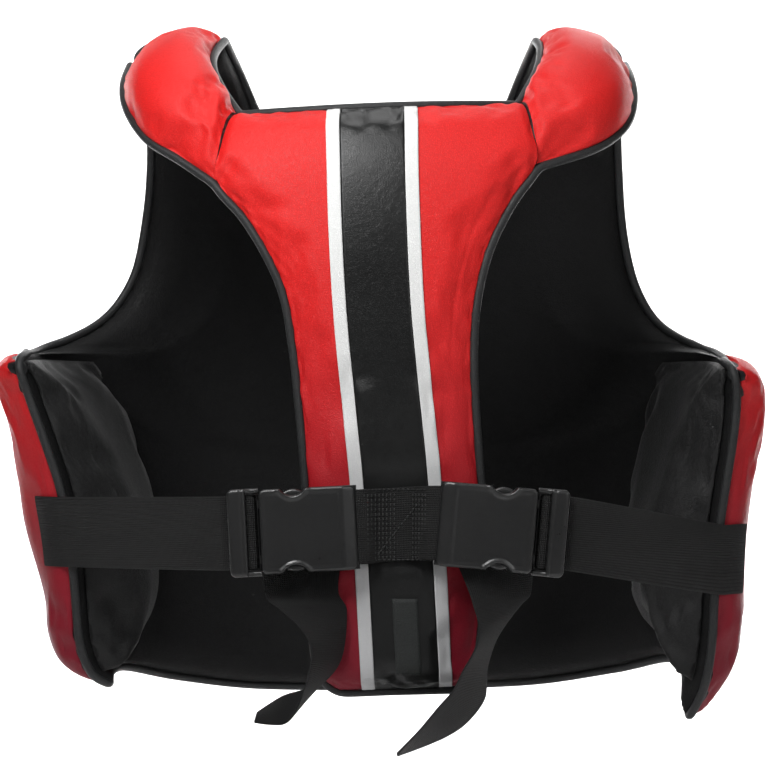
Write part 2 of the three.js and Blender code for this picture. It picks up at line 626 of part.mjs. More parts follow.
// Shoulder pads, sewn to the front along the crest and to the back panel's upper sides.
const shoulders = {};
for (const side of ["left", "right"]) {
  const sign = side === "left" ? -1 : 1;
  const seamColumn = side === "left" ? 0 : backEnd;
  const last = SHOULDER_EDGE.length - 1;
  const alongSeam = (values, share) => {
    const place = share * SHOULDER_SEAM_ROW;
    const row = Math.min(Math.floor(place), SHOULDER_SEAM_ROW - 1);
    return values[row][seamColumn].clone().lerp(values[row + 1][seamColumn], place - row);
  };
  const at = (r) => V(sign * r[side] * HALF_WIDTH, r.forward * HALF_DEPTH, r[side + "Up"] * HALF_HEIGHT);
  const crest = side === "left" ? leftCrest.slice().reverse() : rightCrest;
  const crestShares = FRONT_COLUMNS.slice(neckColumn).map((c) => (c - NECK_SHARE) / (1 - NECK_SHARE));
  const onCrest = (share) => {
    const k = Math.min(crestShares.findLastIndex((c) => c <= share), crest.length - 2);
    const t = (share - crestShares[k]) / (crestShares[k + 1] - crestShares[k]);
    return crest[k].clone().lerp(crest[k + 1], t);
  };
  const straight = (row, share) => at(SHOULDER_NECK[row]).lerp(at(SHOULDER_EDGE[row]), share);
  const sheet = grid(SHOULDER_COLUMNS, indices(SHOULDER_EDGE), (share, row) => {
    const along = row / last;
    const bulge = SHOULDER_CROWN * 4 * share * (1 - share) * Math.sin(Math.PI * along);
    const first = onCrest(share).sub(straight(0, share)).multiplyScalar((1 - along) ** 2);
    const final = alongSeam(back, share).sub(straight(last, share)).multiplyScalar(along ** 2);
    return straight(row, share).add(first).add(final).add(V(0, -bulge * 0.7, bulge * 0.7));
  });
  const normals = normalsOf(sheet, V(0, -1, 1));
  sheet[0].forEach((p) => (p.y -= GAP));
  normals[0].forEach((n) => n.setY(0).normalize());
  sheet[last].forEach((p, i) => {
    p.add(sheet[last - 1][i].clone().sub(p).setLength(2 * GAP));
    normals[last][i] = alongSeam(backNormals, SHOULDER_COLUMNS[i]).normalize();
  });
  const edges = [0, SHOULDER_COLUMNS.length - 1].map((i) => sheet.map((line) => line[i]));
  const seams = [sheet[0], sheet[last]];
  const share = sheet.map((line) =>
    line.map((p) => {
      const free = Math.min(...edges.map((edge) => distanceTo(p, edge)));
      const sewn = Math.min(...seams.map((edge) => distanceTo(p, edge)));
      return rounded(free, SHOULDER_ROUNDING) * grooved(sewn);
    }),
  );
  const out = (j, i) => mix(EDGE_HALF, SHOULDER_HALF, share[j][i]);
  const inn = (j, i) => mix(EDGE_HALF, SHOULDER_IN, share[j][i]);
  add(
    `shoulder_pad_${side}`,
    solidBetween(offset(sheet, normals, out), offset(sheet, normals, (j, i) => -inn(j, i))),
    RED,
  );
  add(
    `shoulder_lining_${side}`,
    solidBetween(
      offset(sheet, normals, (j, i) => -inn(j, i) - GAP),
      offset(sheet, normals, (j, i) => -inn(j, i) - liningFace),
    ),
    BLACK,
  );
  shoulders[side] = { sheet, normals, last, end: SHOULDER_COLUMNS.length - 1 };
}

// Piping. Each run follows a rim just clear of its edge.
const clear = PIPING_RADIUS + 1.6 * GAP;
const count = (from, to) => {
  const step = Math.sign(to - from);
  return Array.from({ length: Math.abs(to - from) + 1 }, (_, k) => from + k * step);
};
function shortened(path) {
  const [a, b] = [path[0], path[path.length - 1]];
  a.add(path[1].clone().sub(a).setLength(PIPING_RADIUS * 0.8));
  b.add(path[path.length - 2].clone().sub(b).setLength(PIPING_RADIUS * 0.8));
  return path;
}
const frontEnd = frontColumns.length - 1;
const frontCells = [
  ...count(CREST_ROW, 0).map((j) => [j, 0]),
  ...count(1, frontEnd).map((i) => [0, i]),
  ...count(1, CREST_ROW).map((j) => [j, frontEnd]),
];
const frontPath = besideRim(front, frontNormals, frontCells, clear);
add("front_binding", tube(shortened(frontPath), PIPING_RADIUS, 6, false), TRIM);

const { left, right } = shoulders;
const beside = (pad, cells) => besideRim(pad.sheet, pad.normals, cells, clear + GAP);
const neckPath = [
  ...besideRim(front, frontNormals, count(rightNeck, leftNeck).map((i) => [CREST_ROW, i]), clear),
  ...beside(left, count(1, left.last - 1).map((j) => [j, 0])),
  ...besideRim(back, backNormals, backColumns.slice(1, -1).map((i) => [0, i]), clear),
  ...beside(right, count(right.last - 1, 1).map((j) => [j, 0])),
];
add("neck_binding", tube(neckPath, PIPING_RADIUS, 6, true), TRIM);

const backCells = [
  ...count(SHOULDER_SEAM_ROW, backLast).map((j) => [j, backEnd]),
  ...count(backEnd - 1, 0).map((i) => [backLast, i]),
  ...count(backLast - 1, SHOULDER_SEAM_ROW).map((j) => [j, 0]),
];
const backPath = [
  ...beside(right, count(0, right.last - 1).map((j) => [j, right.end])),
  ...besideRim(back, backNormals, backCells, clear),
  ...beside(left, count(left.last - 1, 0).map((j) => [j, left.end])),
];
add("back_binding", tube(shortened(backPath), PIPING_RADIUS, 6, false), TRIM);

// Buckle halves, drawn in a frame whose X runs outward from the bar and whose Z is up.
function closed(geometry) {
  const bare = new THREE.BufferGeometry();
  bare.setAttribute("position", geometry.getAttribute("position"));
  bare.setIndex(geometry.index);
  const merged = mergeVertices(bare, 1e-4);
  return new wasm.Manifold(
    new wasm.Mesh({
      numProp: 3,
      vertProperties: merged.getAttribute("position").array,
      triVerts: new Uint32Array(merged.index.array),
    }),
  );
}
function drawn(manifold) {
  const mesh = manifold.getMesh();
  const geometry = new THREE.BufferGeometry();
  geometry.setAttribute("position", new THREE.BufferAttribute(new Float32Array(mesh.vertProperties), 3));
  geometry.setIndex(Array.from(mesh.triVerts));
  geometry.computeVertexNormals();
  return geometry;
}
function block(from, to, half, thickness, low = -half) {
  const box = new THREE.BoxGeometry(to - from, thickness, half - low);
  return closed(box.translate((from + to) / 2, 0, (half + low) / 2));
}
function plate(from, to, half, thickness, corner, bevel) {
  const [x0, x1, z1, r] = [from + bevel, to - bevel, half - bevel, corner];
  const outline = new THREE.Shape();
  outline.absarc(x1 - r, z1 - r, r, 0, Math.PI / 2);
  outline.absarc(x0 + r, z1 - r, r, Math.PI / 2, Math.PI);
  outline.absarc(x0 + r, r - z1, r, Math.PI, 1.5 * Math.PI);
  outline.absarc(x1 - r, r - z1, r, 1.5 * Math.PI, 2 * Math.PI);
  const depth = thickness - 2 * bevel;
  const options = { depth, bevelEnabled: true, bevelSize: bevel, bevelThickness: bevel };
  const solid = new THREE.ExtrudeGeometry(outline, { ...options, bevelSegments: 1, curveSegments: 3 });
  return closed(solid.translate(0, 0, -depth / 2).rotateX(Math.PI / 2));
}
function roundBar(x, half, radius, sides) {
  const bar = new THREE.CylinderGeometry(radius, radius, 2 * half, sides);
  return closed(bar.rotateX(Math.PI / 2).translate(x, 0, 0));
}

function socket() {
  const rails = [-1, 1].map((s) => {
    const [a, b] = [s * SLOT_HALF, s * SOCKET_HALF];
    return block(-BAR_RADIUS, SOCKET_BODY[0] + 2, Math.max(a, b), 2 * BAR_RADIUS, Math.min(a, b));
  });
  const { from, half, thickness } = SOCKET_CAVITY;
  const notches = [-1, 1].map((s) =>
    closed(
      new THREE.CylinderGeometry(NOTCH.radius, NOTCH.radius, 2 * BUCKLE_THICKNESS, 20)
        .translate(NOTCH.at, 0, s * (SOCKET_HALF + NOTCH.radius - NOTCH.depth)),
    ),
  );
  return plate(...SOCKET_BODY, SOCKET_HALF, BUCKLE_THICKNESS, BUCKLE_CORNER, SOCKET_BEVEL)
    .add(rails[0])
    .add(rails[1])
    .add(roundBar(0, SLOT_HALF + 1, BAR_RADIUS, 10))
    .subtract(block(from, SOCKET_BODY[1] + 1, half + PRONG.width / 2, thickness))
    .subtract(notches[0])
    .subtract(notches[1]);
}
function plug() {
  const { inner, slot, bar, slotEnd, thickness } = PLUG_BARS;
  const arms = [-1, 1].map((s) => {
    const [a, b] = [s * (PRONG.half - PRONG.width), s * PRONG.half];
    return block(PRONG.from, inner, Math.max(a, b), PRONG.thickness, Math.min(a, b));
  });
  const sunk = (BUCKLE_THICKNESS - thickness) / 2 + thickness / 2;
  const shave = [-1, 1].map((s) =>
    closed(
      new THREE.BoxGeometry(bar - slot + 1, BUCKLE_THICKNESS, 2 * SLOT_HALF).translate(
        (slot + bar) / 2, s * sunk, 0,
      ),
    ),
  );
  return plate(...PLUG_SPAN, PLUG_HALF, PLUG_THICKNESS, BUCKLE_CORNER, PLUG_BEVEL)
    .subtract(block(inner, slot, SLOT_HALF, BUCKLE_THICKNESS))
    .subtract(block(bar, slotEnd, SLOT_HALF, BUCKLE_THICKNESS))
    .subtract(shave[0])
    .subtract(shave[1])
    .add(arms[0])
    .add(arms[1]);
}

const buckleFrames = {};
for (const side of ["left", "right"]) {
  const { bar, up, tilt } = BUCKLES[side];
  const droop = THREE.MathUtils.degToRad(tilt);
  const pieces = [
    add(`buckle_socket_${side}`, drawn(socket()), PLASTIC),
    add(`buckle_plug_${side}`, drawn(plug()), PLASTIC),
  ];
  for (const piece of pieces) {
    piece.position.set(bar * HALF_WIDTH, BUCKLE_FORWARD, up * HALF_HEIGHT);
    piece.rotation.y = side === "left" ? Math.PI - droop : droop;
    piece.updateMatrix();
  }
  buckleFrames[side] = pieces[0].matrix;
}

// The band sewn across the panel, with a loop round each buckle's bar.
function band() {
  const reach = BAR_RADIUS + GAP + WEBBING;
  const ends = ["left", "right"].map((side) => BUCKLES[side].bar * HALF_WIDTH);
  const face = -BACK_BULGE * HALF_DEPTH - BACK_HALF - stripeHigh - 2 * GAP;
  const outline = new THREE.Shape();
  outline.absarc(ends[0], BUCKLE_FORWARD, reach, Math.PI / 2, 1.5 * Math.PI);
  const dip = [0.14, 0.28, 0.42];
  const outerY = [BUCKLE_FORWARD - 0.4 * reach, face - 1.44 * BAND, face - BAND];
  dip.forEach((t, k) => outline.lineTo(mix(ends[0], ends[1], t), outerY[k]));
  dip.toReversed().forEach((t, k) => outline.lineTo(mix(ends[1], ends[0], t), outerY[2 - k]));
  outline.absarc(ends[1], BUCKLE_FORWARD, reach, -Math.PI / 2, Math.PI / 2);
  const innerY = [mix(BUCKLE_FORWARD + reach, face, 0.5), face];
  innerY.forEach((y, k) => outline.lineTo(mix(ends[1], ends[0], dip[k]), y));
  innerY.toReversed().forEach((y, k) => outline.lineTo(mix(ends[0], ends[1], dip[1 - k]), y));
  for (const end of ends)
    outline.holes.push(new THREE.Path().absarc(end, BUCKLE_FORWARD, BAR_RADIUS + GAP, 0, 2 * Math.PI));
  const options = { depth: WEBBING_WIDTH, bevelEnabled: false, curveSegments: 7 };
  const geometry = new THREE.ExtrudeGeometry(outline, options).translate(0, 0, -WEBBING_WIDTH / 2);
  const position = geometry.attributes.position;
  const middle = (ends[0] + ends[1]) / 2;
  for (let k = 0; k < position.count; k++) {
    const side = position.getX(k) < middle ? "left" : "right";
    const share = Math.min(Math.abs(position.getX(k) - middle) / (ends[1] - middle - reach), 1) ** 2;
    const lean = Math.tan(THREE.MathUtils.degToRad(BUCKLES[side].tilt)) * (side === "left" ? -1 : 1);
    const z = position.getZ(k);
    position.setX(k, position.getX(k) + share * lean * z);
    position.setZ(k, z + mix(BUCKLES.left.up, BUCKLES.right.up, side === "left" ? 0 : 1) * HALF_HEIGHT);
  }
  return geometry;
}
add("centre_webbing", band(), WEB);

// Webbing strap: sewn flat on the wing, over its piping, round the plug's bar, folded and hanging.
function strap(side) {
  const { up, fold, wing, knee } = BUCKLES[side];
  const sign = side === "left" ? -1 : 1;
  const half = WEBBING_WIDTH / 2;
  const lift = GAP + WEBBING / 2;
  const heights = [wing * HALF_HEIGHT + half, knee * HALF_HEIGHT, wing * HALF_HEIGHT - half];
  const atHeight = (points, z) => {
    const j = points.findIndex((p) => p.z >= z);
    const [low, high] = [points[j - 1], points[j]];
    return low.clone().lerp(high, (z - low.z) / (high.z - low.z));
  };
  const stations = STRAP_SHARES.map((share) => {
    const i = frontColumns.indexOf(sign * share);
    const raised = offset(frontOuter, frontNormals, () => lift + GAP).map((line) => line[i]);
    return { points: heights.map((z) => atHeight(raised, z)) };
  });
  const edge = sign < 0 ? 0 : frontEnd;
  const over = [0.6].map((t) => {
    const raised = front.map((line, j) => {
      const out = line[edge].clone().sub(line[edge - sign]).normalize();
      const lean = frontNormals[j][edge].clone().lerp(out, t).normalize();
      const beyond = line[edge].clone().addScaledVector(out, clear);
      return beyond.addScaledVector(lean, PIPING_RADIUS + lift + 2 * GAP);
    });
    return { points: heights.map((z) => atHeight(raised, z)) };
  });
  stations.push(...over);
  const local = (x, y, z) => V(x, y, z).applyMatrix4(buckleFrames[side]);
  const flat = (x, y) => ({ points: [half, 0, -half].map((z) => local(x, y, sign * z)) });
  const { slot, bar, slotEnd, thickness } = PLUG_BARS;
  const behind = PLUG_THICKNESS / 2 + lift;
  const above = -(thickness / 2 + lift + GAP);
  const layer = BUCKLE_THICKNESS / 2 + lift;
  stations.push(
    flat(PLUG_SPAN[1] + PLUG_THICKNESS, behind),
    flat(slotEnd + 0.2, behind + 0.3),
    flat((bar + slotEnd) / 2 - 0.3, 0.8),
    flat(bar + 0.7, above * 0.75),
    flat((slot + bar) / 2, above),
    flat(slot - 0.7, above * 0.75),
    flat(slot - 1.5, 0.8),
    flat(slot - 2.6, behind + 1.6),
    flat(slot - PLUG_THICKNESS, layer + GAP),
    flat(fold + half + 0.6, layer),
  );
  const foldLine = (shift, y) =>
    [1, 0, -1].map((k) => local(fold + k * half - shift, y, sign * (k * half + shift)));
  const outward = local(-1, 0, sign).sub(local(0, 0, 0)).normalize();
  const radius = FOLD_LAYERS / 2 / Math.SQRT2;
  stations.push({ points: foldLine(0, layer), normal: V(0, -1, 0) });
  stations.push({ points: foldLine(radius, layer + FOLD_LAYERS / 2), normal: outward });
  stations.push({ points: foldLine(0, layer + FOLD_LAYERS), normal: V(0, 1, 0) });
  const rows = TAILS[side];
  const centres = new THREE.CatmullRomCurve3(
    rows.map((r) => V(r.x * HALF_WIDTH, r.forward * HALF_DEPTH, r.up * HALF_HEIGHT)),
  );
  const widths = new THREE.CatmullRomCurve3(rows.map((r) => V(r.widthX, r.widthY, r.widthUp)));
  const steps = 2 * (rows.length - 1);
  for (let k = 0; k <= steps; k++) {
    const centre = centres.getPoint(k / steps);
    const width = widths.getPoint(k / steps).normalize().multiplyScalar(half * sign);
    stations.push({ points: [1, 0, -1].map((w) => centre.clone().addScaledVector(width, w)) });
  }
  stations.forEach((station, k) => {
    if (station.normal) return;
    const before = stations[Math.max(k - 1, 0)];
    const after = stations[Math.min(k + 1, stations.length - 1)];
    const run = after.points[1].clone().sub(before.points[1]);
    const width = station.points[2].clone().sub(station.points[0]);
    station.normal = run.cross(width).normalize();
    const reference = k > 0 ? before.normal : V(sign, 0, 0);
    if (station.normal.dot(reference) < 0) station.normal.negate();
  });
  const sheet = (height) =>
    stations.map(({ points, normal }) => points.map((p) => p.clone().addScaledVector(normal, height)));
  return solidBetween(sheet(WEBBING / 2), sheet(-WEBBING / 2));
}
add("strap_left", strap("left"), WEB);
add("strap_right", strap("right"), WEB);

// The origin is lifted to where the guard sits on the shoulders.
const SEAT_HEIGHT = 225;
vest.position.z = -SEAT_HEIGHT;
const chestGuard = new THREE.Group();
chestGuard.add(vest);

export default chestGuard;
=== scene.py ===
import math

import bpy
import numpy as np
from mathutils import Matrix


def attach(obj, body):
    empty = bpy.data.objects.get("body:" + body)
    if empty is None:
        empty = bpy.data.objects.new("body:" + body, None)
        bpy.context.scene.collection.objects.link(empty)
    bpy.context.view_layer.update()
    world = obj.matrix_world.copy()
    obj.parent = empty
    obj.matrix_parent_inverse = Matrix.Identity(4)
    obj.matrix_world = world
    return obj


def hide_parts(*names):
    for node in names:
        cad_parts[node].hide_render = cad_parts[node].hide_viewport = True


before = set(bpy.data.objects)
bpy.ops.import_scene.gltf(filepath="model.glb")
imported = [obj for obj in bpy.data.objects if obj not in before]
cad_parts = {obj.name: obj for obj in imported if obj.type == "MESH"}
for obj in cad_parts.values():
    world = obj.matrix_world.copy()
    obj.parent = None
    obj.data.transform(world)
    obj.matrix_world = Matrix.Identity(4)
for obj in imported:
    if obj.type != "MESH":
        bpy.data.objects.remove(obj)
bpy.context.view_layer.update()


# ---------------------------------------------------------------- camera
# The photograph is taken level, square to the back, from about two metres behind the guard.
# Its frame is a quarter of the distance wide, which a 144 mm lens gives on a 36 mm sensor.
camera_data = bpy.data.cameras.new("camera")
camera_data.sensor_width = 36
camera_data.lens = 36 / 0.25025
camera = bpy.data.objects.new("camera", camera_data)
camera.location = (0, -2.15, -0.225)
camera.rotation_euler = (math.pi / 2, 0, 0)
bpy.context.collection.objects.link(camera)
bpy.context.scene.camera = camera


# ---------------------------------------------------------------- studio
# A sheet of pale paper runs from the floor up behind the guard in one curve. The main soft box
# hangs close over the left shoulder, so that the guard gets darker towards its hem. Three weaker
# ones fill in from the right, from above and from the front, and two more light only the paper.
def paper_profile(t):
    """Floor, quarter circle and wall: a line, a turn of 0.8 m radius and a second line."""
    floor = np.stack([-4 + 5.6 * np.clip(t, 0, 0.4) / 0.4, 0 * t], 1)
    angle = np.clip((t - 0.4) / 0.2, 0, 1) * math.pi / 2
    turn = 0.8 * np.stack([np.sin(angle), 1 - np.cos(angle)], 1)
    wall = np.stack([0 * t, 4 * np.clip((t - 0.6) / 0.4, 0, 1)], 1)
    return floor + turn + wall


def grid_faces(rows, columns, closed=False):
    """Four corners of each cell of a grid of points: its own number, the next one across, and the
    same two in the row above. A closed grid joins its last column to its first."""
    cells = columns if closed else columns - 1
    j, i = np.meshgrid(np.arange(rows - 1), np.arange(cells), indexing="ij")
    low, high = j * columns + i, j * columns + (i + 1) % columns
    return np.stack([low, high, high + columns, low + columns], -1).reshape(-1, 4)


def mesh_object(name, metres, faces):
    """A mesh object at the origin from an array of points in metres and an array of quads."""
    mesh = bpy.data.meshes.new(name)
    mesh.vertices.add(len(metres))
    mesh.vertices.foreach_set("co", np.ascontiguousarray(metres, np.float32).ravel())
    mesh.loops.add(faces.size)
    mesh.loops.foreach_set("vertex_index", np.ascontiguousarray(faces, np.int32).ravel())
    mesh.polygons.add(len(faces))
    first_corners = np.arange(0, faces.size, faces.shape[1], dtype=np.int32)
    mesh.polygons.foreach_set("loop_start", first_corners)
    mesh.polygons.foreach_set("use_smooth", np.full(len(faces), True))
    mesh.update(calc_edges=True)
    made = bpy.data.objects.new(name, mesh)
    bpy.context.collection.objects.link(made)
    return made


FLOOR_LEVEL = -0.62
line = paper_profile(np.linspace(0, 1, 61))
across = np.linspace(-5, 5, 11)
paper = np.stack([
    np.tile(across, len(line)), np.repeat(line[:, 0], len(across)),
    np.repeat(line[:, 1] + FLOOR_LEVEL, len(across)),
], 1)
backdrop = mesh_object("paper_backdrop", paper, grid_faces(len(line), len(across)))
paper_material = bpy.data.materials.new("studio_paper")
paper_material.use_nodes = True
paper_shader = paper_material.node_tree.nodes["Principled BSDF"]
paper_shader.inputs["Base Color"].default_value = (0.9, 0.9, 0.9, 1)
paper_shader.inputs["Roughness"].default_value = 0.9
backdrop.data.materials.append(paper_material)

for name, place, aim, size, watts in [
    ("soft_box_key", (-0.3, -0.68, 0.34), (-0.03, -0.12, 0.0), 0.45, 6.6),
    ("soft_box_right", (0.9, -1.3, 0.3), (0.0, 0.0, -0.1), 0.8, 4),
    ("soft_box_top", (0.0, 0.1, 0.9), (0.0, -0.1, -0.2), 0.8, 4),
    ("soft_box_front", (0.5, 1.4, 0.9), (0.0, 0.0, -0.2), 0.8, 4),
    ("paper_light_left", (-1.5, 1.7, 0.5), (-0.9, 2.6, -0.2), 0.8, 60),
    ("paper_light_right", (1.5, 1.7, 0.5), (0.9, 2.6, -0.2), 0.8, 60),
]:
    light_data = bpy.data.lights.new(name, "AREA")
    light_data.shape = "DISK"
    light_data.size = size
    light_data.energy = watts
    light = bpy.data.objects.new(name, light_data)
    light.location = place
    back = np.array(place) - np.array(aim)
    light.rotation_euler = (math.atan2(math.hypot(back[0], back[1]), back[2]), 0,
                            math.atan2(back[0], -back[1]))
    bpy.context.collection.objects.link(light)
world = bpy.data.worlds.new("studio_air")
world.use_nodes = True
world.node_tree.nodes["Background"].inputs["Color"].default_value = (1, 1, 1, 1)
world.node_tree.nodes["Background"].inputs["Strength"].default_value = 0.1
bpy.context.scene.world = world
bpy.context.scene.view_settings.view_transform = "Standard"


# ---------------------------------------------------------------- red front cover
# The front is one thick block of foam in red leatherette. It wraps round the ribs to both sides and
# rolls back over the shoulders. Its seam line runs at half the padding, with the piping sewn on it.
HALF = np.array([250.0, 125.0, 250.0])  # half the guard's width, chest depth and height, in mm
SEAT_HEIGHT = 225.0  # the shoulders over the chest's middle
GAP = 0.35  # between two pieces that lie on each other
LINING = 1.6
EDGE_HALF = 1.0  # half-thickness of a padded piece at its sewn rim
CREST_LEVEL = 1.12
NECK_SHARE = 0.62

# Level along the surface, height and forward place of the centre line, from hem to shoulder crest.
CENTRE_LINE = np.array([
    [-0.92, -0.92, 0.86], [-0.6, -0.6, 0.95], [-0.2, -0.2, 1.0], [0.12, 0.12, 0.98],
    [0.36, 0.36, 0.9], [0.57, 0.56, 0.75], [0.78, 0.75, 0.56], [0.96, 0.905, 0.33],
    [1.12, 1.0, 0.0],
])
# Left half-width and level, right half-width and level, forward place and turn of each side seam.
SIDE_SEAMS = np.array([
    [0.765, -0.82, 0.84, -0.91, -0.22, 98], [0.805, -0.79, 0.876, -0.825, -0.32, 100],
    [0.836, -0.71, 0.895, -0.71, -0.36, 100], [0.848, -0.58, 0.902, -0.58, -0.38, 100],
    [0.862, -0.42, 0.91, -0.43, -0.4, 100], [0.888, -0.28, 0.93, -0.28, -0.41, 99],
    [0.93, -0.15, 0.95, -0.15, -0.42, 98], [0.972, -0.03, 0.96, -0.04, -0.42, 97],
    [1.0, 0.066, 0.95, 0.044, -0.41, 97], [0.968, 0.092, 0.918, 0.09, 0.1, 73],
    [0.9, 0.12, 0.85, 0.117, 0.34, 63], [0.82, 0.168, 0.78, 0.169, 0.51, 55],
    [0.762, 0.232, 0.733, 0.245, 0.61, 50], [0.713, 0.33, 0.702, 0.335, 0.65, 47],
    [0.685, 0.47, 0.679, 0.46, 0.63, 45], [0.668, 0.61, 0.666, 0.6, 0.55, 43],
    [0.662, 0.77, 0.656, 0.76, 0.41, 40], [0.672, 0.92, 0.654, 0.92, 0.27, 40],
    [0.686, 1.04, 0.656, 1.04, 0.12, 40], [0.7, 1.12, 0.66, 1.12, 0.0, 40],
])
# The hem: share across, then its level on the left and on the right.
HEM = np.array([
    [0, -0.878, -0.878], [0.3, -0.865, -0.855], [0.52, -0.83, -0.81], [0.75, -0.79, -0.765],
    [0.9, -0.795, -0.805], [1, -0.82, -0.91],
])
FRONT_STOPS = np.array([
    0, 0.18, 0.33, 0.45, 0.55, NECK_SHARE, 0.7, 0.79, 0.88, 0.93, 0.965, 0.986, 1,
])


def through(knots, values, at):
    """A smooth curve through a column of values: on each stretch the cubic that has the values and
    the neighbours' slopes at both ends."""
    slopes = np.empty_like(values)
    slopes[1:-1] = ((values[2:] - values[:-2]).T / (knots[2:] - knots[:-2])).T
    slopes[0] = (values[1] - values[0]) / (knots[1] - knots[0])
    slopes[-1] = (values[-1] - values[-2]) / (knots[-1] - knots[-2])
    i = np.clip(np.searchsorted(knots, at, side="right") - 1, 0, len(knots) - 2)
    width = knots[i + 1] - knots[i]
    t = np.clip((at - knots[i]) / width, 0, 1)
    if values.ndim > 1:
        t, width = t[..., None], width[..., None]
    return (
        (2 * t**3 - 3 * t**2 + 1) * values[i] + (t**3 - 2 * t**2 + t) * width * slopes[i]
        + (3 * t**2 - 2 * t**3) * values[i + 1] + (t**3 - t**2) * width * slopes[i + 1]
    )


def rows_of(table, at):
    """The rows of a table at fractional row numbers, each column eased between the rows."""
    return through(np.arange(len(table), dtype=float), table, at)


def mix(a, b, t):
    return a + (b - a) * t


def ease(x, start, end):
    """0 before start, 1 after end, and between them 3t^2 - 2t^3."""
    t = np.clip((x - start) / (end - start), 0, 1)
    return t * t * (3 - 2 * t)


def spread(stops, each):
    """Each stretch between two stops in equal steps, and the two end stretches in steps that get
    finer towards the end, so that a rounded edge has enough points."""
    t = np.arange(each) / each
    inner = [mix(a, b, t) for a, b in zip(stops[1:-2], stops[2:-1])]
    first = mix(stops[0], stops[1], t**1.8)
    last = mix(stops[-2], stops[-1], 1 - (1 - t) ** 1.8)
    return np.concatenate([first, *inner, last, stops[-1:]])


def front_seam_layer(u, row):
    """Points of the front at a signed share across and a row of the side seams. A row is an arc of
    an ellipse: x goes as the sine of the turned angle and y as its cosine, between the centre line
    and the side seam. Its height bends from the hem at the bottom to the neckline at the top."""
    columns = np.moveaxis(rows_of(SIDE_SEAMS, row), -1, 0)
    left, left_level, right, right_level, forward, turn = columns
    share, on_left = np.abs(u), u < 0
    blend = (u + 1) / 2
    level = mix(left_level, right_level, blend)
    bottom = mix(SIDE_SEAMS[0, 1], SIDE_SEAMS[0, 3], blend)
    rise = np.clip((level - bottom) / (CREST_LEVEL - bottom), 0, 1)
    hem = through(HEM[:, 0], HEM[:, 1:], share)
    hem_drop = np.where(on_left, hem[..., 0], hem[..., 1]) - bottom
    neckline = mix(0.56, CREST_LEVEL, np.clip(share / NECK_SHARE, 0, 1) ** 3.4)
    level = level + hem_drop * (1 - rise) ** 3 + (neckline - CREST_LEVEL) * rise
    edge_level = np.where(on_left, left_level, right_level)
    turn = np.radians(turn)
    round_off = (1 - np.cos(share * turn)) / (1 - np.cos(turn))
    centre = through(CENTRE_LINE[:, 0], CENTRE_LINE[:, 1:], level)
    edge = through(CENTRE_LINE[:, 0], CENTRE_LINE[:, 2], edge_level)
    x = np.sign(u) * np.where(on_left, left, right) * np.sin(share * turn) / np.sin(turn)
    y = centre[..., 1] + (forward - edge) * round_off
    z = centre[..., 0] - 0.1 * ease(edge_level, 0.6, CREST_LEVEL) * round_off
    return np.stack([x, y, z], -1) * HALF


def window_mean(values, reach):
    """Each value becomes the mean of those within a number of cells, along both directions."""
    for axis in (0, 1):
        wide = [(0, 0)] * values.ndim
        wide[axis] = (reach + 1, reach)
        total = np.cumsum(np.pad(values, wide, mode="edge"), axis=axis)
        size = values.shape[axis]
        high = np.take(total, np.arange(size) + 2 * reach + 1, axis=axis)
        values = (high - np.take(total, np.arange(size), axis=axis)) / (2 * reach + 1)
    return values


def unit(vectors):
    return vectors / np.maximum(np.linalg.norm(vectors, axis=-1, keepdims=True), 1e-9)


def facing(points, away, reach):
    """Unit normals of a grid: the cross product of its two directions, averaged over a window so
    that thick padding swells evenly. away is roughly their direction at the middle."""
    normals = unit(np.cross(np.gradient(points, axis=1), np.gradient(points, axis=0)))
    normals = unit(window_mean(normals, reach))
    middle = normals[len(normals) // 2, normals.shape[1] // 2]
    return normals * np.sign(middle @ np.array(away))


def distance_to(points, path):
    """Distance from each point of a grid to the nearest of the straight stretches of a path."""
    start, run = path[:-1], path[1:] - path[:-1]
    length = np.maximum((run**2).sum(-1), 1e-9)
    flat = points.reshape(-1, 1, 3)
    t = np.clip(((flat - start) * run).sum(-1) / length, 0, 1)
    apart = np.linalg.norm(flat - start - t[..., None] * run, axis=-1).min(1)
    return apart.reshape(points.shape[:-1])


def rounded(distance, radius):
    """Share of full thickness beside a free edge: a quarter of a circle."""
    return np.sqrt(1 - (1 - np.clip(distance / radius, 0, 1)) ** 2)


def grooved(distance, kept=0.72, reach=7.0):
    """Share of full thickness beside a sewn seam, where the thread pulls the padding in."""
    return mix(kept, 1, ease(distance, 0, reach))


def puckers(points, distance, depth=0.7, reach=9.0):
    """Depth of the dents where a cover is gathered into a seam: two crossing rows of waves, 11 and
    7 mm long, which fade away from the seam as a bell curve and are nothing on the seam itself."""
    x, y, z = np.moveaxis(points, -1, 0)
    wave = np.sin(2 * np.pi * (0.62 * x + z) / 11 + 1.6 * np.sin(x / 17))
    wave = wave + 0.6 * np.sin(2 * np.pi * (x - 0.55 * z + 0.3 * y) / 7.3 + 1.3 * np.sin(z / 21))
    fade = np.exp(-((distance / reach) ** 2)) * ease(distance, 0, 4)
    return (depth * (0.5 + 0.31 * wave) * fade)[..., None]


def lumps(points, depth=0.6):
    """Uneven foam under a cover: a slow drift of sines, 50 to 90 mm long, in three directions."""
    x, y, z = np.moveaxis(points, -1, 0)
    drift = np.sin(x / 9.1 + 1.3 * np.sin(z / 23)) + np.sin(z / 11.7 + 0.9 * np.sin(x / 19))
    return (depth * (drift + np.sin((x + y - z) / 14.3)) / 3)[..., None]


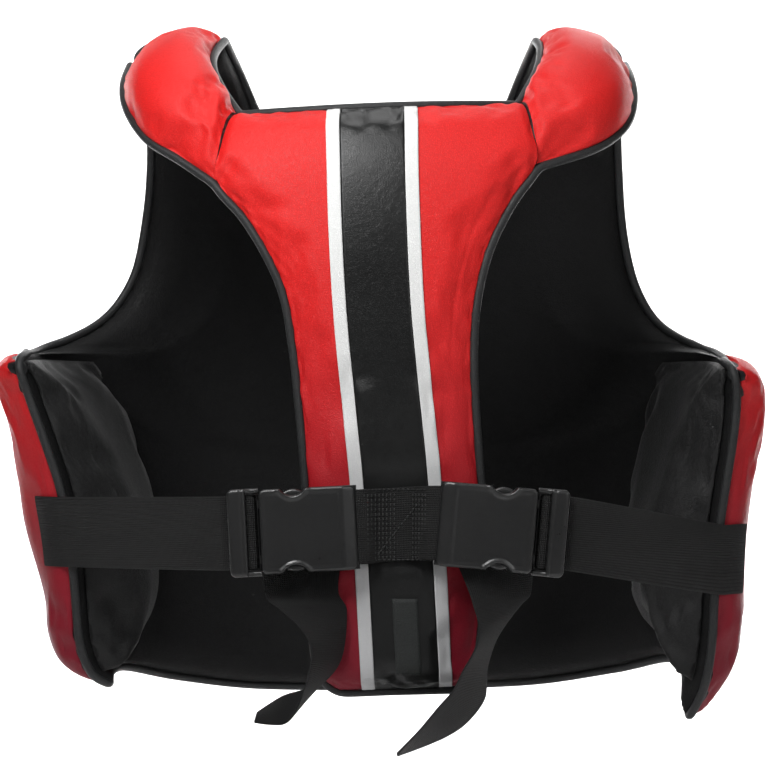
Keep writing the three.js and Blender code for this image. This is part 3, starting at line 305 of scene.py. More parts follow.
def closed_skin(outer, inner):
    """Points and faces of a closed piece between two grids of one size, joined round their rims."""
    rows, columns = outer.shape[:2]
    faces = grid_faces(rows, columns)
    number = np.arange(rows * columns).reshape(rows, columns)
    rim = np.concatenate([number[0, :-1], number[:-1, -1], number[-1, :0:-1], number[:0:-1, 0]])
    after = np.roll(rim, -1)
    back = rows * columns
    wall = np.stack([rim, back + rim, back + after, after], -1)
    points = np.concatenate([outer.reshape(-1, 3), inner.reshape(-1, 3)])
    return points, np.concatenate([faces, faces[:, ::-1] + back, wall])


def piece(name, points, faces, material, *nodes, slot, inside=None):
    """A piece of the guard from points in millimetres over the chest's middle: it gets its
    material, rides with the guard and stands for the named solids. Faces that enclose a negative
    volume, the sum of their corners' triple products, are turned round. inside is the material of
    a closed skin's inner sheet and rim."""
    a, b, c, d = (points[faces[:, k]] for k in range(4))
    triple = a * np.cross(b - a, c - a) + a * np.cross(c - a, d - a)
    if triple.sum() < 0:
        faces = faces[:, ::-1]
    made = mesh_object(name, (points - [0, 0, SEAT_HEIGHT]) / 1000, faces)
    made.data.materials.append(material)
    if inside:
        made.data.materials.append(inside)
        hidden = (faces.max(axis=1) >= len(points) // 2).astype(np.int32)
        made.data.polygons.foreach_set("material_index", hidden)
    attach(made, "root")
    if nodes:
        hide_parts(*nodes)
    return made


def swollen(outer, inner, held, pressure=4.0, cap=2.0):
    """The outer sheet after its foam has pushed it out. A cloth of every third row and column is
    simulated for 20 frames under pressure, with its rim, its inner sheet and the held points
    pinned, and cut 2% larger than its frame so that it gathers at the seams. How far its points
    rise or sink, up to a cap, is then spread back over the whole grid."""
    rows = np.unique(np.append(np.arange(0, outer.shape[0], 3), outer.shape[0] - 1))
    columns = np.unique(np.append(np.arange(0, outer.shape[1], 3), outer.shape[1] - 1))
    cut = np.ix_(rows, columns)
    points, faces = closed_skin(outer[cut], inner[cut])
    pinned = held[cut].copy()
    pinned[[0, -1]] = True
    pinned[:, [0, -1]] = True
    pinned = np.concatenate([pinned.ravel(), np.full(pinned.size, True)])
    a, b, c = (points[faces[:, k]] for k in range(3))
    triple = np.einsum("ij,ij->i", a, np.cross(b, c))
    cloth = mesh_object("foam_press", points / 1000, faces[:, ::-1] if triple.sum() < 0 else faces)
    seam = cloth.vertex_groups.new(name="seam")
    seam.add(np.flatnonzero(pinned).tolist(), 1.0, "REPLACE")
    settings = cloth.modifiers.new("press", "CLOTH").settings
    settings.quality = 6
    settings.mass = 0.25
    settings.tension_stiffness = settings.compression_stiffness = 12
    settings.shear_stiffness = 4
    settings.bending_stiffness = 0.15
    settings.use_pressure = True
    settings.uniform_pressure_force = pressure
    settings.vertex_group_mass = "seam"
    settings.shrink_min = -0.02
    settings.effector_weights.gravity = 0
    for step in range(1, 21):
        bpy.context.scene.frame_set(step)
    after = cloth.evaluated_get(bpy.context.evaluated_depsgraph_get()).data
    moved = np.empty(len(points) * 3, np.float32)
    after.vertices.foreach_get("co", moved)
    moved = (moved.reshape(-1, 3) * 1000 - points)[: len(points) // 2]
    bpy.context.scene.frame_set(1)
    bpy.data.objects.remove(cloth)
    out = unit(np.cross(np.gradient(outer[cut], axis=1), np.gradient(outer[cut], axis=0)))
    out = out.reshape(-1, 3)
    moved = (out * np.clip((moved * out).sum(-1, keepdims=True), -cap, cap)).reshape(len(rows), -1)
    moved = through(rows.astype(float), moved, np.arange(outer.shape[0], dtype=float))
    moved = moved.reshape(-1, len(columns), 3).transpose(1, 0, 2).reshape(len(columns), -1)
    moved = through(columns.astype(float), moved, np.arange(outer.shape[1], dtype=float))
    return outer + moved.reshape(outer.shape[1], -1, 3).transpose(1, 0, 2)


def place_nodes(tree, plan):
    """Adds nodes to a tree. Each entry is name: (kind, inputs, settings). An input is a value or a
    link, written as ("node name", "output name")."""
    made = {}
    for name, (kind, inputs, settings) in plan.items():
        node = tree.nodes.new(kind)
        node.name = node.label = name
        for setting, value in settings.items():
            setattr(node, setting, value)
        for key, value in inputs.items():
            if isinstance(value, tuple) and isinstance(value[0], str):
                source = made.get(value[0]) or tree.nodes[value[0]]
                tree.links.new(source.outputs[value[1]], node.inputs[key])
            else:
                node.inputs[key].default_value = value
        made[name] = node
    return made


def effect(name, inputs, outputs, plan, ends):
    """A shader node group. inputs are name: (socket kind, value), outputs are name: socket kind,
    and ends says which node's output each of them comes from."""
    tree = bpy.data.node_groups.new(name, "ShaderNodeTree")
    for socket, (kind, value) in inputs.items():
        made = tree.interface.new_socket(socket, in_out="INPUT", socket_type=kind)
        made.default_value = value
    for socket, kind in outputs.items():
        tree.interface.new_socket(socket, in_out="OUTPUT", socket_type=kind)
    tree.nodes.new("NodeGroupInput").name = "in"
    place_nodes(tree, plan)
    out = tree.nodes.new("NodeGroupOutput")
    for socket, (node, output) in ends.items():
        tree.links.new(tree.nodes[node].outputs[output], out.inputs[socket])
    return tree


def finish_of(name, plan, shader):
    """A material whose Principled BSDF takes the values and links in shader."""
    material = bpy.data.materials.new(name)
    material.use_nodes = True
    tree = material.node_tree
    place_nodes(tree, plan)
    principled = tree.nodes["Principled BSDF"]
    for key, value in shader.items():
        if isinstance(value, tuple) and isinstance(value[0], str):
            tree.links.new(tree.nodes[value[0]].outputs[value[1]], principled.inputs[key])
        else:
            principled.inputs[key].default_value = value
    return material


FLOAT, COLOUR, VECTOR = "NodeSocketFloat", "NodeSocketColor", "NodeSocketVector"

# Leather grain: small raised cells with hollows between them, and how deep each point lies.
pressed_grain = effect(
    "pressed_grain", {"Cells per metre": (FLOAT, 900.0), "Unevenness": (FLOAT, 0.6)},
    {"Height": FLOAT, "Hollow": FLOAT},
    {
        "place": ("ShaderNodeTexCoord", {}, {}),
        "wander": ("ShaderNodeTexNoise", {
            "Vector": ("place", "Object"), "Scale": 260.0, "Detail": 2.0}, {}),
        "bend": ("ShaderNodeVectorMath", {0: ("wander", "Color"), 1: (0.004, 0.004, 0.004)},
                 {"operation": "MULTIPLY"}),
        "moved": ("ShaderNodeVectorMath", {0: ("place", "Object"), 1: ("bend", "Vector")}, {}),
        "cells": ("ShaderNodeTexVoronoi", {
            "Vector": ("moved", "Vector"), "Scale": ("in", "Cells per metre"),
            "Randomness": ("in", "Unevenness")}, {"feature": "DISTANCE_TO_EDGE"}),
        "cushion": ("ShaderNodeMapRange", {
            "Value": ("cells", "Distance"), "From Min": 0.0, "From Max": 0.32}, {
            "interpolation_type": "SMOOTHSTEP"}),
        "hollow": ("ShaderNodeMath", {0: 1.0, 1: ("cushion", "Result")}, {"operation": "SUBTRACT"}),
    },
    {"Height": ("cushion", "Result"), "Hollow": ("hollow", "Value")},
)
# Soft creases of a cover that has been bent: thin bright ridges where stretched noise crosses its
# middle, and broad gentle waves under them.
soft_creases = effect(
    "soft_creases", {
        "Creases per metre": (FLOAT, 30.0), "Stretch": (VECTOR, (1.0, 1.0, 2.2)),
        "Sharpness": (FLOAT, 0.12)},
    {"Height": FLOAT, "Fold": FLOAT},
    {
        "place": ("ShaderNodeTexCoord", {}, {}),
        "stretched": ("ShaderNodeVectorMath", {0: ("place", "Object"), 1: ("in", "Stretch")},
                      {"operation": "MULTIPLY"}),
        "folds": ("ShaderNodeTexNoise", {
            "Vector": ("stretched", "Vector"), "Scale": ("in", "Creases per metre"),
            "Detail": 1.0, "Roughness": 0.4, "Distortion": 0.3}, {}),
        "offset": ("ShaderNodeMath", {0: ("folds", "Fac"), 1: 0.5}, {"operation": "SUBTRACT"}),
        "apart": ("ShaderNodeMath", {0: ("offset", "Value")}, {"operation": "ABSOLUTE"}),
        "fold": ("ShaderNodeMapRange", {
            "Value": ("apart", "Value"), "From Min": 0.0, "From Max": ("in", "Sharpness"),
            "To Min": 1.0, "To Max": 0.0}, {"interpolation_type": "SMOOTHERSTEP"}),
        "broad": ("ShaderNodeTexNoise", {
            "Vector": ("stretched", "Vector"), "Scale": 9.0, "Detail": 0.0}, {}),
        "sum": ("ShaderNodeMath", {0: ("fold", "Result"), 1: 0.1, 2: ("broad", "Fac")},
                {"operation": "MULTIPLY_ADD"}),
    },
    {"Height": ("sum", "Value"), "Fold": ("fold", "Result")},
)
# Uneven tone: one colour drifts into another in soft clouds, with a fine mottle over them.
cloudy_tone = effect(
    "cloudy_tone", {
        "Main": (COLOUR, (0.5, 0.5, 0.5, 1)), "Other": (COLOUR, (0.4, 0.4, 0.4, 1)),
        "Clouds per metre": (FLOAT, 9.0), "Amount": (FLOAT, 0.6)},
    {"Color": COLOUR, "Clouds": FLOAT},
    {
        "place": ("ShaderNodeTexCoord", {}, {}),
        "clouds": ("ShaderNodeTexNoise", {
            "Vector": ("place", "Object"), "Scale": ("in", "Clouds per metre"), "Detail": 4.0,
            "Roughness": 0.6}, {}),
        "mottle": ("ShaderNodeTexNoise", {
            "Vector": ("place", "Object"), "Scale": 420.0, "Detail": 2.0}, {}),
        "both": ("ShaderNodeMath", {0: ("mottle", "Fac"), 1: 0.35, 2: ("clouds", "Fac")},
                 {"operation": "MULTIPLY_ADD"}),
        "share": ("ShaderNodeMapRange", {
            "Value": ("both", "Value"), "From Min": 0.45, "From Max": 0.9,
            "To Max": ("in", "Amount")}, {}),
        "tone": ("ShaderNodeMixRGB", {
            "Fac": ("share", "Result"), "Color1": ("in", "Main"), "Color2": ("in", "Other")}, {}),
    },
    {"Color": ("tone", "Color"), "Clouds": ("share", "Result")},
)


# Painted shade: a darker second colour takes over between two heights, so that a surface
# gets darker lower down, where less light falls.
painted_shade_below = effect(
    "painted_shade_below", {
        "Color": (COLOUR, (0.5, 0.5, 0.5, 1)), "Deep": (COLOUR, (0.2, 0.2, 0.2, 1)),
        "Amount": (FLOAT, 0.0), "Top": (FLOAT, -0.12), "Bottom": (FLOAT, -0.42)},
    {"Color": COLOUR},
    {
        "place": ("ShaderNodeTexCoord", {}, {}),
        "split": ("ShaderNodeSeparateXYZ", {"Vector": ("place", "Object")}, {}),
        "share": ("ShaderNodeMapRange", {
            "Value": ("split", "Z"), "From Min": ("in", "Top"), "From Max": ("in", "Bottom"),
            "To Max": ("in", "Amount")}, {"interpolation_type": "SMOOTHSTEP"}),
        "tone": ("ShaderNodeMixRGB", {
            "Fac": ("share", "Result"), "Color1": ("in", "Color"), "Color2": ("in", "Deep")}, {}),
    },
    {"Color": ("tone", "Color")},
)


def group(tree, **inputs):
    """One node that holds a group, for a plan of nodes."""
    values = {key.replace("_", " "): value for key, value in inputs.items()}
    return "ShaderNodeGroup", values, {"node_tree": tree}


def leather(name, main, other, hollow, rough, creases=24.0, crease_depth=0.0012,
            grain_depth=0.0003, painted_shade_colour=(0, 0, 0), painted_shade_amount=0.0, specular=0.3):
    """Coated cloth: cloudy colour, darker in the grain's hollows, glossier where it drifts to its
    second colour, with painted shade that darkens it toward the hem, and with creases and grain
    pressed into its normal."""
    return finish_of(name, {
        "grain": group(pressed_grain, Cells_per_metre=850.0),
        "creases": group(soft_creases, Creases_per_metre=creases, Sharpness=0.07),
        "tone": group(cloudy_tone, Main=(*main, 1), Other=(*other, 1)),
        "depth": ("ShaderNodeMath", {0: ("grain", "Hollow"), 1: 0.5}, {"operation": "MULTIPLY"}),
        "sunk": ("ShaderNodeMixRGB", {
            "Fac": ("depth", "Value"), "Color1": ("tone", "Color"), "Color2": (*hollow, 1)}, {}),
        # Painted shade: the colour darkens toward the hem.
        "shaded": group(painted_shade_below, Color=("sunk", "Color"), Deep=(*painted_shade_colour, 1), Amount=painted_shade_amount),
        "gloss": ("ShaderNodeMapRange", {
            "Value": ("tone", "Clouds"), "From Max": 0.6, "To Min": rough + 0.06,
            "To Max": rough - 0.06}, {}),
        "creased": ("ShaderNodeBump", {
            "Height": ("creases", "Height"), "Distance": crease_depth, "Strength": 0.6}, {}),
        "pressed": ("ShaderNodeBump", {
            "Height": ("grain", "Height"), "Distance": grain_depth, "Strength": 0.5,
            "Normal": ("creased", "Normal")}, {}),
    }, {
        "Base Color": ("shaded", "Color"), "Roughness": ("gloss", "Result"),
        "Normal": ("pressed", "Normal"), "Specular IOR Level": specular,
    })


# The red is painted darker toward the hem: painted shade, where the light falls off downward.
red = leather("red_leatherette", (0.80, 0.018, 0.016), (0.68, 0.012, 0.011),
              (0.5, 0.006, 0.006), 0.5, creases=18.0, crease_depth=0.0008, grain_depth=0.0002,
              painted_shade_colour=(0.2, 0.004, 0.016), painted_shade_amount=1.0)
trim = leather("piping_vinyl", (0.030, 0.031, 0.032), (0.022, 0.023, 0.024),
               (0.012, 0.012, 0.012), 0.42, creases=55.0, crease_depth=0.0005, grain_depth=0.0002)
front_u = spread(FRONT_STOPS, 8)
front_u = np.concatenate([-front_u[:0:-1], front_u])
front_v = spread(np.arange(len(SIDE_SEAMS), dtype=float), 8)
U, R = np.meshgrid(front_u, front_v)
front = front_seam_layer(U, R)
front_normals = facing(front, (0, 1, 0), 9)
front_normals[..., 2] *= ease(front[..., 2] / HALF[2], 0.1, 0.5)
on_crest = ease(R, 18, 19) * (np.abs(U) >= NECK_SHARE - 1e-6)
front_normals[..., 1] *= 1 - on_crest
front_normals = unit(front_normals)
neck_cells = np.abs(front_u) <= NECK_SHARE + 1e-6
crest_left = front[-1, front_u <= -NECK_SHARE + 1e-6]
crest_right = front[-1, front_u >= NECK_SHARE - 1e-6]
front_free = np.min([
    distance_to(front, edge)
    for edge in (front[0, ::4], front[::4, 0], front[::4, -1], front[-1, neck_cells])
], axis=0)
front_sewn = np.minimum(distance_to(front, crest_left), distance_to(front, crest_right))
shoulder_share = ease(front[..., 2] / HALF[2], 0.25, 0.9)
wing_share = ease(np.abs(U), 0.35, 0.8)
front_share = rounded(front_free, mix(30.0, 18.0, shoulder_share)) * grooved(front_sewn)


def front_half(chest, wing, shoulder):
    """Half-thickness from the seam line: full on the chest, less on wings and shoulders."""
    full = mix(mix(chest, wing, wing_share), shoulder, shoulder_share)
    return (mix(EDGE_HALF, full, front_share))[..., None]


front_seams = np.minimum(front_free, front_sewn)
front_relief = puckers(front, front_seams, 0.5)
front_relief = front_relief + lumps(front, 0.9) * ease(front_seams, 2, 25)[..., None]
# The strap draws the left wing's edge in, and the foam bulges up to 12 mm beside it.
foam_push = 12 * np.exp(-(((front[..., 2] + 84) / 48) ** 2)) * ease(-U, 0.55, 0.86)
front_relief = front_relief - (foam_push * (1 - ease(-U, 0.87, 0.965)))[..., None]
front_out = front + front_normals * (front_half(26.0, 20.0, 14.5) - front_relief)
front_in_half = front_half(17.0, 12.0, 7.0)
front_in = front - front_normals * front_in_half
on_strap = (np.abs(U) > 0.8) & (front[..., 2] > -155) & (front[..., 2] < -65)
front_out = swollen(front_out, front_in, on_strap, pressure=3.0)
front_cover = piece("front_cover", *closed_skin(front_out, front_in), red, "front_shell",
                    slot="red_cover", inside=trim)


# ---------------------------------------------------------------- black lining of the front
# The inside of the chest and wings is lined with a thin black cloth, sewn in along the piping.
# The rib pads use a lighter copy of this same cloth; the difference between the two is painted
# sheen.
black = leather("black_lining_cloth", (0.0028, 0.0028, 0.003), (0.0055, 0.0055, 0.006),
                (0.0012, 0.0012, 0.0012), 0.55, creases=15.0, crease_depth=0.0014, specular=0.2)


def line_with_cloth(name, sheet, away, half, free, node):
    """The lining of a padded sheet: cloth just inside the cover, which thins to nothing where the
    distance to the free edges does."""
    near = half + GAP
    far = near + (LINING * ease(free, -1, 8))[..., None]
    lining = piece(name, *closed_skin(sheet - away * near, sheet - away * far), black, node,
                   slot="black_lining")


line_with_cloth(
    "front_inner_lining", front, front_normals, front_in_half, front_free, "front_lining")


# ---------------------------------------------------------------- rib pads
# A soft foam pad under the lining fills the hollow of each wing. It swells most near the hem.
# Height over the chest's middle and share across of the pad's inner edge, from the hem up.
RIB_EDGE = np.array([
    [-0.84, 0.84], [-0.74, 0.72], [-0.64, 0.6], [-0.5, 0.56], [-0.3, 0.55], [-0.1, 0.56],
    [0.06, 0.6],
])
RIB_SWELL = 36.0
RIB_CLOTH = 0.6
# The pads are covered in the lining's black cloth, given a lighter colour than the lining as
# painted sheen where the bulging pads catch the light.
painted_sheen_rib_cloth = leather("rib_pad_cloth", (0.0075, 0.0075, 0.0078), (0.0115, 0.0115, 0.012),
                    (0.003, 0.003, 0.003), 0.5, creases=12.0, crease_depth=0.0012)
shine = painted_sheen_rib_cloth.node_tree.nodes["Principled BSDF"]
shine.inputs["Sheen Weight"].default_value = 0.12
shine.inputs["Sheen Roughness"].default_value = 0.4
for name, sign in (("left", -1), ("right", 1)):
    inside = (sign * front_u >= 0.45 - 1e-6) & (sign * front_u <= 0.986 + 1e-6)
    low_rows = (front_v >= 1 - 1e-6) & (front_v <= 8 + 1e-6)
    cut = np.ix_(low_rows, inside)
    sheet, away = front[cut], front_normals[cut]
    far = 0 if sign < 0 else -1
    edges = [sheet[0, ::4], sheet[::4, far], sheet[-1, ::4]]
    apart = np.min([distance_to(sheet, edge) for edge in edges], axis=0)
    inner_edge = through(RIB_EDGE[:, 0], RIB_EDGE[:, 1], sheet[..., 2] / HALF[2])
    inward = np.clip((np.abs(U[cut]) - inner_edge) / 0.3, 0, 1)
    # Past its inner edge the pad is thin cloth that lies hidden inside the lining.
    sunk = 1.5 * (1 - ease(inward, 0, 0.04))[..., None]
    base = sheet - away * (front_in_half[cut] + 2 * GAP + LINING - sunk)
    low = mix(0.35, 1, ease(-sheet[..., 2] / HALF[2], -0.05, 0.6))
    swell = RIB_CLOTH + RIB_SWELL * low * rounded(apart, 62) * rounded(inward, 1.0)
    domed = base - away * swell[..., None]
    domed = domed + away * lumps(domed, 1.6) * (swell / (RIB_SWELL + 1))[..., None]
    domed = swollen(domed, base, swell < 2, pressure=3.0, cap=3.0)
    rib = piece(
        f"rib_pad_cover_{name}", *closed_skin(base, domed),
        painted_sheen_rib_cloth, f"rib_pad_{name}", slot="black_lining",
    )


# ---------------------------------------------------------------- back panel
# A narrow padded panel in red leatherette hangs from the shoulder pads and tapers to the waist.
# Rows run from the neck to the hem. Of the columns, six run along the edges of the stripes.
BACK_HALF = 10.0
SHOULDER_SEAM_ROW = 3
# Left half-width and height, right half-width and height, forward place at sides and middle.
BACK_SIDES = np.array([
    [0.392, 0.715, 0.36, 0.742, -0.76, -0.93], [0.41, 0.672, 0.37, 0.705, -0.85, -0.98],
    [0.427, 0.61, 0.383, 0.65, -0.93, -1.03], [0.44, 0.535, 0.395, 0.58, -1.0, -1.07],
    [0.364, 0.444, 0.328, 0.484, -1.05, -1.1], [0.3, 0.34, 0.266, 0.36, -1.09, -1.12],
    [0.256, 0.236, 0.232, 0.224, -1.11, -1.13], [0.232, 0.1, 0.222, 0.09, -1.12, -1.14],
    [0.216, -0.05, 0.226, -0.05, -1.12, -1.14], [0.2, -0.24, 0.24, -0.24, -1.12, -1.14],
    [0.192, -0.42, 0.252, -0.42, -1.12, -1.14], [0.187, -0.552, 0.248, -0.552, -1.11, -1.13],
    [0.18, -0.66, 0.238, -0.66, -1.1, -1.12], [0.166, -0.748, 0.222, -0.748, -1.1, -1.12],
    [0.146, -0.778, 0.212, -0.77, -1.09, -1.11], [0.116, -0.797, 0.196, -0.787, -1.09, -1.1],
])
# Height and place across of the stripe's middle, from the hem up.
STRIPE_PATH = np.array([
    [-0.84, 0.06], [-0.48, 0.041], [-0.25, 0.027], [0, 0.002], [0.22, -0.018], [0.5, -0.03],
    [0.8, -0.034],
])
# Columns beside the stripes, as shares of the way to the side seam, and along them, in mm.
BESIDE_STRIPES = (1, 0.9, 0.62, 0.25)
STRIPE_COLUMNS = (-29.25, -20.75, -7.0, 9.5, 20.75, 29.25)


def back_seam_layer(column, row):
    """Points of the back panel. Between whole columns x runs straight, y bows out from the side
    seams to the middle as the square of the share across, and z tilts from seam to seam."""
    columns = np.moveaxis(rows_of(BACK_SIDES, row), -1, 0)
    left, left_up, right, right_up, side, middle = columns
    across = through(STRIPE_PATH[:, 0], STRIPE_PATH[:, 1], (left_up + right_up) / 2) * HALF[0]
    stops = [mix(across + STRIPE_COLUMNS[0], -left * HALF[0], k) for k in BESIDE_STRIPES]
    stops += [across + k for k in STRIPE_COLUMNS]
    stops += [mix(across + STRIPE_COLUMNS[-1], right * HALF[0], k) for k in BESIDE_STRIPES[::-1]]
    stops = np.stack(stops, -1)
    i = np.clip(np.floor(column).astype(int), 0, stops.shape[-1] - 2)
    low = np.take_along_axis(stops, i[..., None], -1)[..., 0]
    high = np.take_along_axis(stops, i[..., None] + 1, -1)[..., 0]
    x = mix(low, high, column - i)
    u = np.where(x < 0, x / left, x / right) / HALF[0]
    y = mix(middle, side, u * u) * HALF[1]
    return np.stack([x, y, mix(left_up, right_up, (u + 1) / 2) * HALF[2]], -1)


BACK_COLUMNS = 2 * len(BESIDE_STRIPES) + len(STRIPE_COLUMNS)
back_c = spread(np.arange(BACK_COLUMNS, dtype=float), 8)
back_v = spread(np.arange(len(BACK_SIDES), dtype=float), 10)
C, R = np.meshgrid(back_c, back_v)
back = back_seam_layer(C, R)
back_normals = facing(back, (0, -1, 0), 6)
sewn_rows = back_v <= SHOULDER_SEAM_ROW + 1e-6
back_seams = [back[sewn_rows, 0], back[sewn_rows, -1]]
back_edges = [back[0, ::4], back[-1, ::4], back[~sewn_rows, 0][::4], back[~sewn_rows, -1][::4]]
back_free = np.min([distance_to(back, edge) for edge in back_edges], axis=0)
back_sewn = np.min([distance_to(back, seam) for seam in back_seams], axis=0)
back_share = rounded(back_free, 22) * grooved(back_sewn)
back_half = mix(EDGE_HALF, BACK_HALF, back_share)[..., None]
back_seam = np.minimum(back_free, back_sewn)
# A faint line shows where the foam ends, 12.5 mm inside the right edge.
foam_edge = 0.7 * np.exp(-(((back_seam - 12.5) / 1.5) ** 2)) * ease(back[..., 0], 20, 40)
foam_edge = foam_edge * ease(back[..., 2], 0, 40) * (1 - ease(back[..., 2], 130, 160))
back_relief = puckers(back, back_seam, 0.4) + foam_edge[..., None]
back_out = back + back_normals * (back_half - back_relief)
under_band = np.abs(back[..., 2] + 90) < 32
back_out = swollen(back_out, back - back_normals * back_half, under_band)
back_cover = piece(
    "back_cover", *closed_skin(back_out, back - back_normals * back_half), red, "back_panel",
    slot="red_cover", inside=trim,
)
line_with_cloth("back_inner_lining", back, back_normals, back_half, back_free, "back_lining")


# ---------------------------------------------------------------- stripes and blank label
# Three vinyl stripes are sewn flat down the back panel, white, black and white. Low on the black
# one sits a small woven tag, which is left blank.
STRIPE = 1.2


def laid(columns, rows, low, high):
    """The cover's own points between some columns and rows, lifted along its normals."""
    across = (back_c >= columns[0] - 1e-6) & (back_c <= columns[1] + 1e-6)
    along = (back_v >= rows[0] - 1e-6) & (back_v <= rows[1] + 1e-6)
    cut = np.ix_(along, across)
    return closed_skin(
        back_out[cut] + back_normals[cut] * high, back_out[cut] + back_normals[cut] * low
    )


# The white is painted darker toward the hem as well: painted shade.
white = leather("white_vinyl", (0.86, 0.86, 0.85), (0.76, 0.77, 0.76), (0.66, 0.67, 0.66),
                0.42, crease_depth=0.0006, grain_depth=0.00012, painted_shade_colour=(0.46, 0.46, 0.47),
                painted_shade_amount=0.9)
black_vinyl = leather("black_vinyl", (0.0035, 0.0038, 0.0038), (0.006, 0.0063, 0.0063),
                      (0.002, 0.002, 0.002), 0.34, crease_depth=0.0004, grain_depth=0.00007,
                      specular=0.45)
tag_cloth = leather("tag_cloth", (0.028, 0.031, 0.03), (0.021, 0.023, 0.022),
                    (0.012, 0.013, 0.013), 0.6, crease_depth=0.0001)
whole = (0, len(BACK_SIDES) - 1)
OFF_COVER = 0.05
for name, columns, vinyl, node, slot in [
    ("white_stripe_left", (4, 5), white, "stripe_white_left", "white_stripe"),
    ("black_stripe_middle", (5, 8), black_vinyl, "stripe_black", "black_stripe"),
    ("white_stripe_right", (8, 9), white, "stripe_white_right", "white_stripe"),
]:
    piece(name, *laid(columns, whole, OFF_COVER, STRIPE), vinyl, node, slot=slot)
piece("blank_woven_tag", *laid((6, 7), (11, 13), STRIPE + OFF_COVER, STRIPE + 0.9), tag_cloth,
      "blank_label", slot="label")


# ---------------------------------------------------------------- shoulder pads
# A padded red strap over each shoulder joins the front's crest to the back panel's upper sides.
# Left x and height, right x and height and forward place of its edges, from the crest back.
SHOULDER_EDGE = np.array([
    [0.7, 0.92, 0.66, 0.92, 0.0], [0.71, 0.85, 0.668, 0.862, -0.28],
    [0.702, 0.785, 0.67, 0.79, -0.47], [0.672, 0.72, 0.65, 0.722, -0.64],
    [0.625, 0.66, 0.608, 0.672, -0.78], [0.545, 0.608, 0.535, 0.628, -0.89],
    [0.44, 0.535, 0.395, 0.58, -1.0],
])
SHOULDER_NECK = np.array([
    [0.45, 0.968, 0.44, 0.968, 0.0], [0.468, 0.937, 0.446, 0.94, -0.16],
    [0.478, 0.902, 0.44, 0.905, -0.32], [0.474, 0.862, 0.428, 0.868, -0.46],
    [0.456, 0.818, 0.41, 0.83, -0.58], [0.428, 0.768, 0.386, 0.787, -0.68],
    [0.392, 0.715, 0.36, 0.742, -0.76],
])
SHOULDER_STOPS = np.array([0, 0.1, 1 / 3, 1 / 2, 2 / 3, 0.9, 1])


def shoulder_seam_layer(share, row, sign):
    """Points of a shoulder pad: straight from neck edge to outer edge, bent to meet the crest at
    its front end and the back panel's side at its other end, and crowned between them."""
    first = 0 if sign < 0 else 2
    last = len(SHOULDER_EDGE) - 1

    def edge(table, at):
        values = rows_of(table, at)
        x, up, forward = sign * values[..., first], values[..., first + 1], values[..., 4]
        return np.stack([x, forward, up], -1) * HALF

    def straight(at):
        return mix(edge(SHOULDER_NECK, at), edge(SHOULDER_EDGE, at), share[..., None])

    along = (row / last)[..., None]
    top_row = np.full_like(share, len(SIDE_SEAMS) - 1.0)
    crest = front_seam_layer(sign * mix(NECK_SHARE, 1, share), top_row)
    side = np.full_like(share, 0 if sign < 0 else BACK_COLUMNS - 1.0)
    panel = back_seam_layer(side, share * SHOULDER_SEAM_ROW)
    meet_crest = (crest - straight(np.zeros_like(share))) * (1 - along) ** 2
    meet_panel = (panel - straight(np.full_like(share, float(last)))) * along**2
    bulge = 12 * 4 * share * (1 - share) * np.sin(np.pi * row / last)
    crown = np.stack([0 * bulge, -0.7 * bulge, 0.7 * bulge], -1)
    return straight(row) + meet_crest + meet_panel + crown


shoulder_s = spread(SHOULDER_STOPS, 8)
shoulder_v = spread(np.arange(len(SHOULDER_EDGE), dtype=float), 12)
S, R = np.meshgrid(shoulder_s, shoulder_v)
shoulders = {}
for name, sign in (("left", -1), ("right", 1)):
    sheet = shoulder_seam_layer(S, R, sign)
    away = facing(sheet, (0, -1, 1), 6)
    at_crest, at_panel = (1 - ease(R, 0, 1))[..., None], ease(R, 5, 6)[..., None]
    away = unit(away * np.concatenate([1 + 0 * at_crest, 1 - at_crest, 1 + 0 * at_crest], -1))
    seam_rows = shoulder_s * SHOULDER_SEAM_ROW
    seam_away = np.stack([
        np.interp(seam_rows, back_v, back_normals[:, 0 if sign < 0 else -1, k]) for k in range(3)
    ], -1)
    away = unit(mix(away, seam_away[None], at_panel))
    sheet = sheet - at_crest * np.array([0, GAP, 0])
    pull = unit(sheet[-13] - sheet[-1])
    sheet = sheet + at_panel * pull[None] * 2 * GAP
    to_neck, to_arm = distance_to(sheet, sheet[::4, 0]), distance_to(sheet, sheet[::4, -1])
    free = np.minimum(to_neck, to_arm)
    sewn = np.minimum(distance_to(sheet, sheet[0, ::4]), distance_to(sheet, sheet[-1, ::4]))
    fullness = (rounded(free, 18) * grooved(sewn))[..., None]
    flatter = np.minimum(rounded(to_neck, 20), np.sin(np.pi / 2 * np.clip(to_arm / 26, 0, 1)))
    flatter = (flatter * grooved(sewn))[..., None]
    out_half, in_half = mix(EDGE_HALF, 13.5, flatter), mix(EDGE_HALF, 7.0, fullness)
    top = sheet + away * (out_half - puckers(sheet, np.minimum(free, sewn), 0.4))
    top = swollen(top, sheet - away * in_half, free < 1)
    pad = piece(
        f"shoulder_cover_{name}", *closed_skin(top, sheet - away * in_half),
        red, f"shoulder_pad_{name}", slot="red_cover", inside=trim,
    )
    line_with_cloth(
        f"shoulder_inner_lining_{name}", sheet, away, in_half, free, f"shoulder_lining_{name}")
    shoulders[name] = sheet


# ---------------------------------------------------------------- piping
# Vinyl piping over a cord is sewn all along the edges in three runs: round the wings and the hem
# of the front, round the neck, and round the back's arm sides and hem. It covers where red cover
# meets lining.
PIPING_RADIUS = 3.0
PIPING_CLEAR = PIPING_RADIUS - 0.6


def beside(edge, inside):
    """A path just off an edge, and the direction off the sheet, which is away from the points
    further in and square to the edge's own run."""
    run = unit(np.gradient(edge, axis=0))
    off = edge - inside
    off = unit(off - (off * run).sum(-1, keepdims=True) * run)
    return edge + off * PIPING_CLEAR, off


def length_along(path):
    """How far along a path each of its points is."""
    return np.concatenate([[0], np.cumsum(np.linalg.norm(np.diff(path, axis=0), axis=1))])


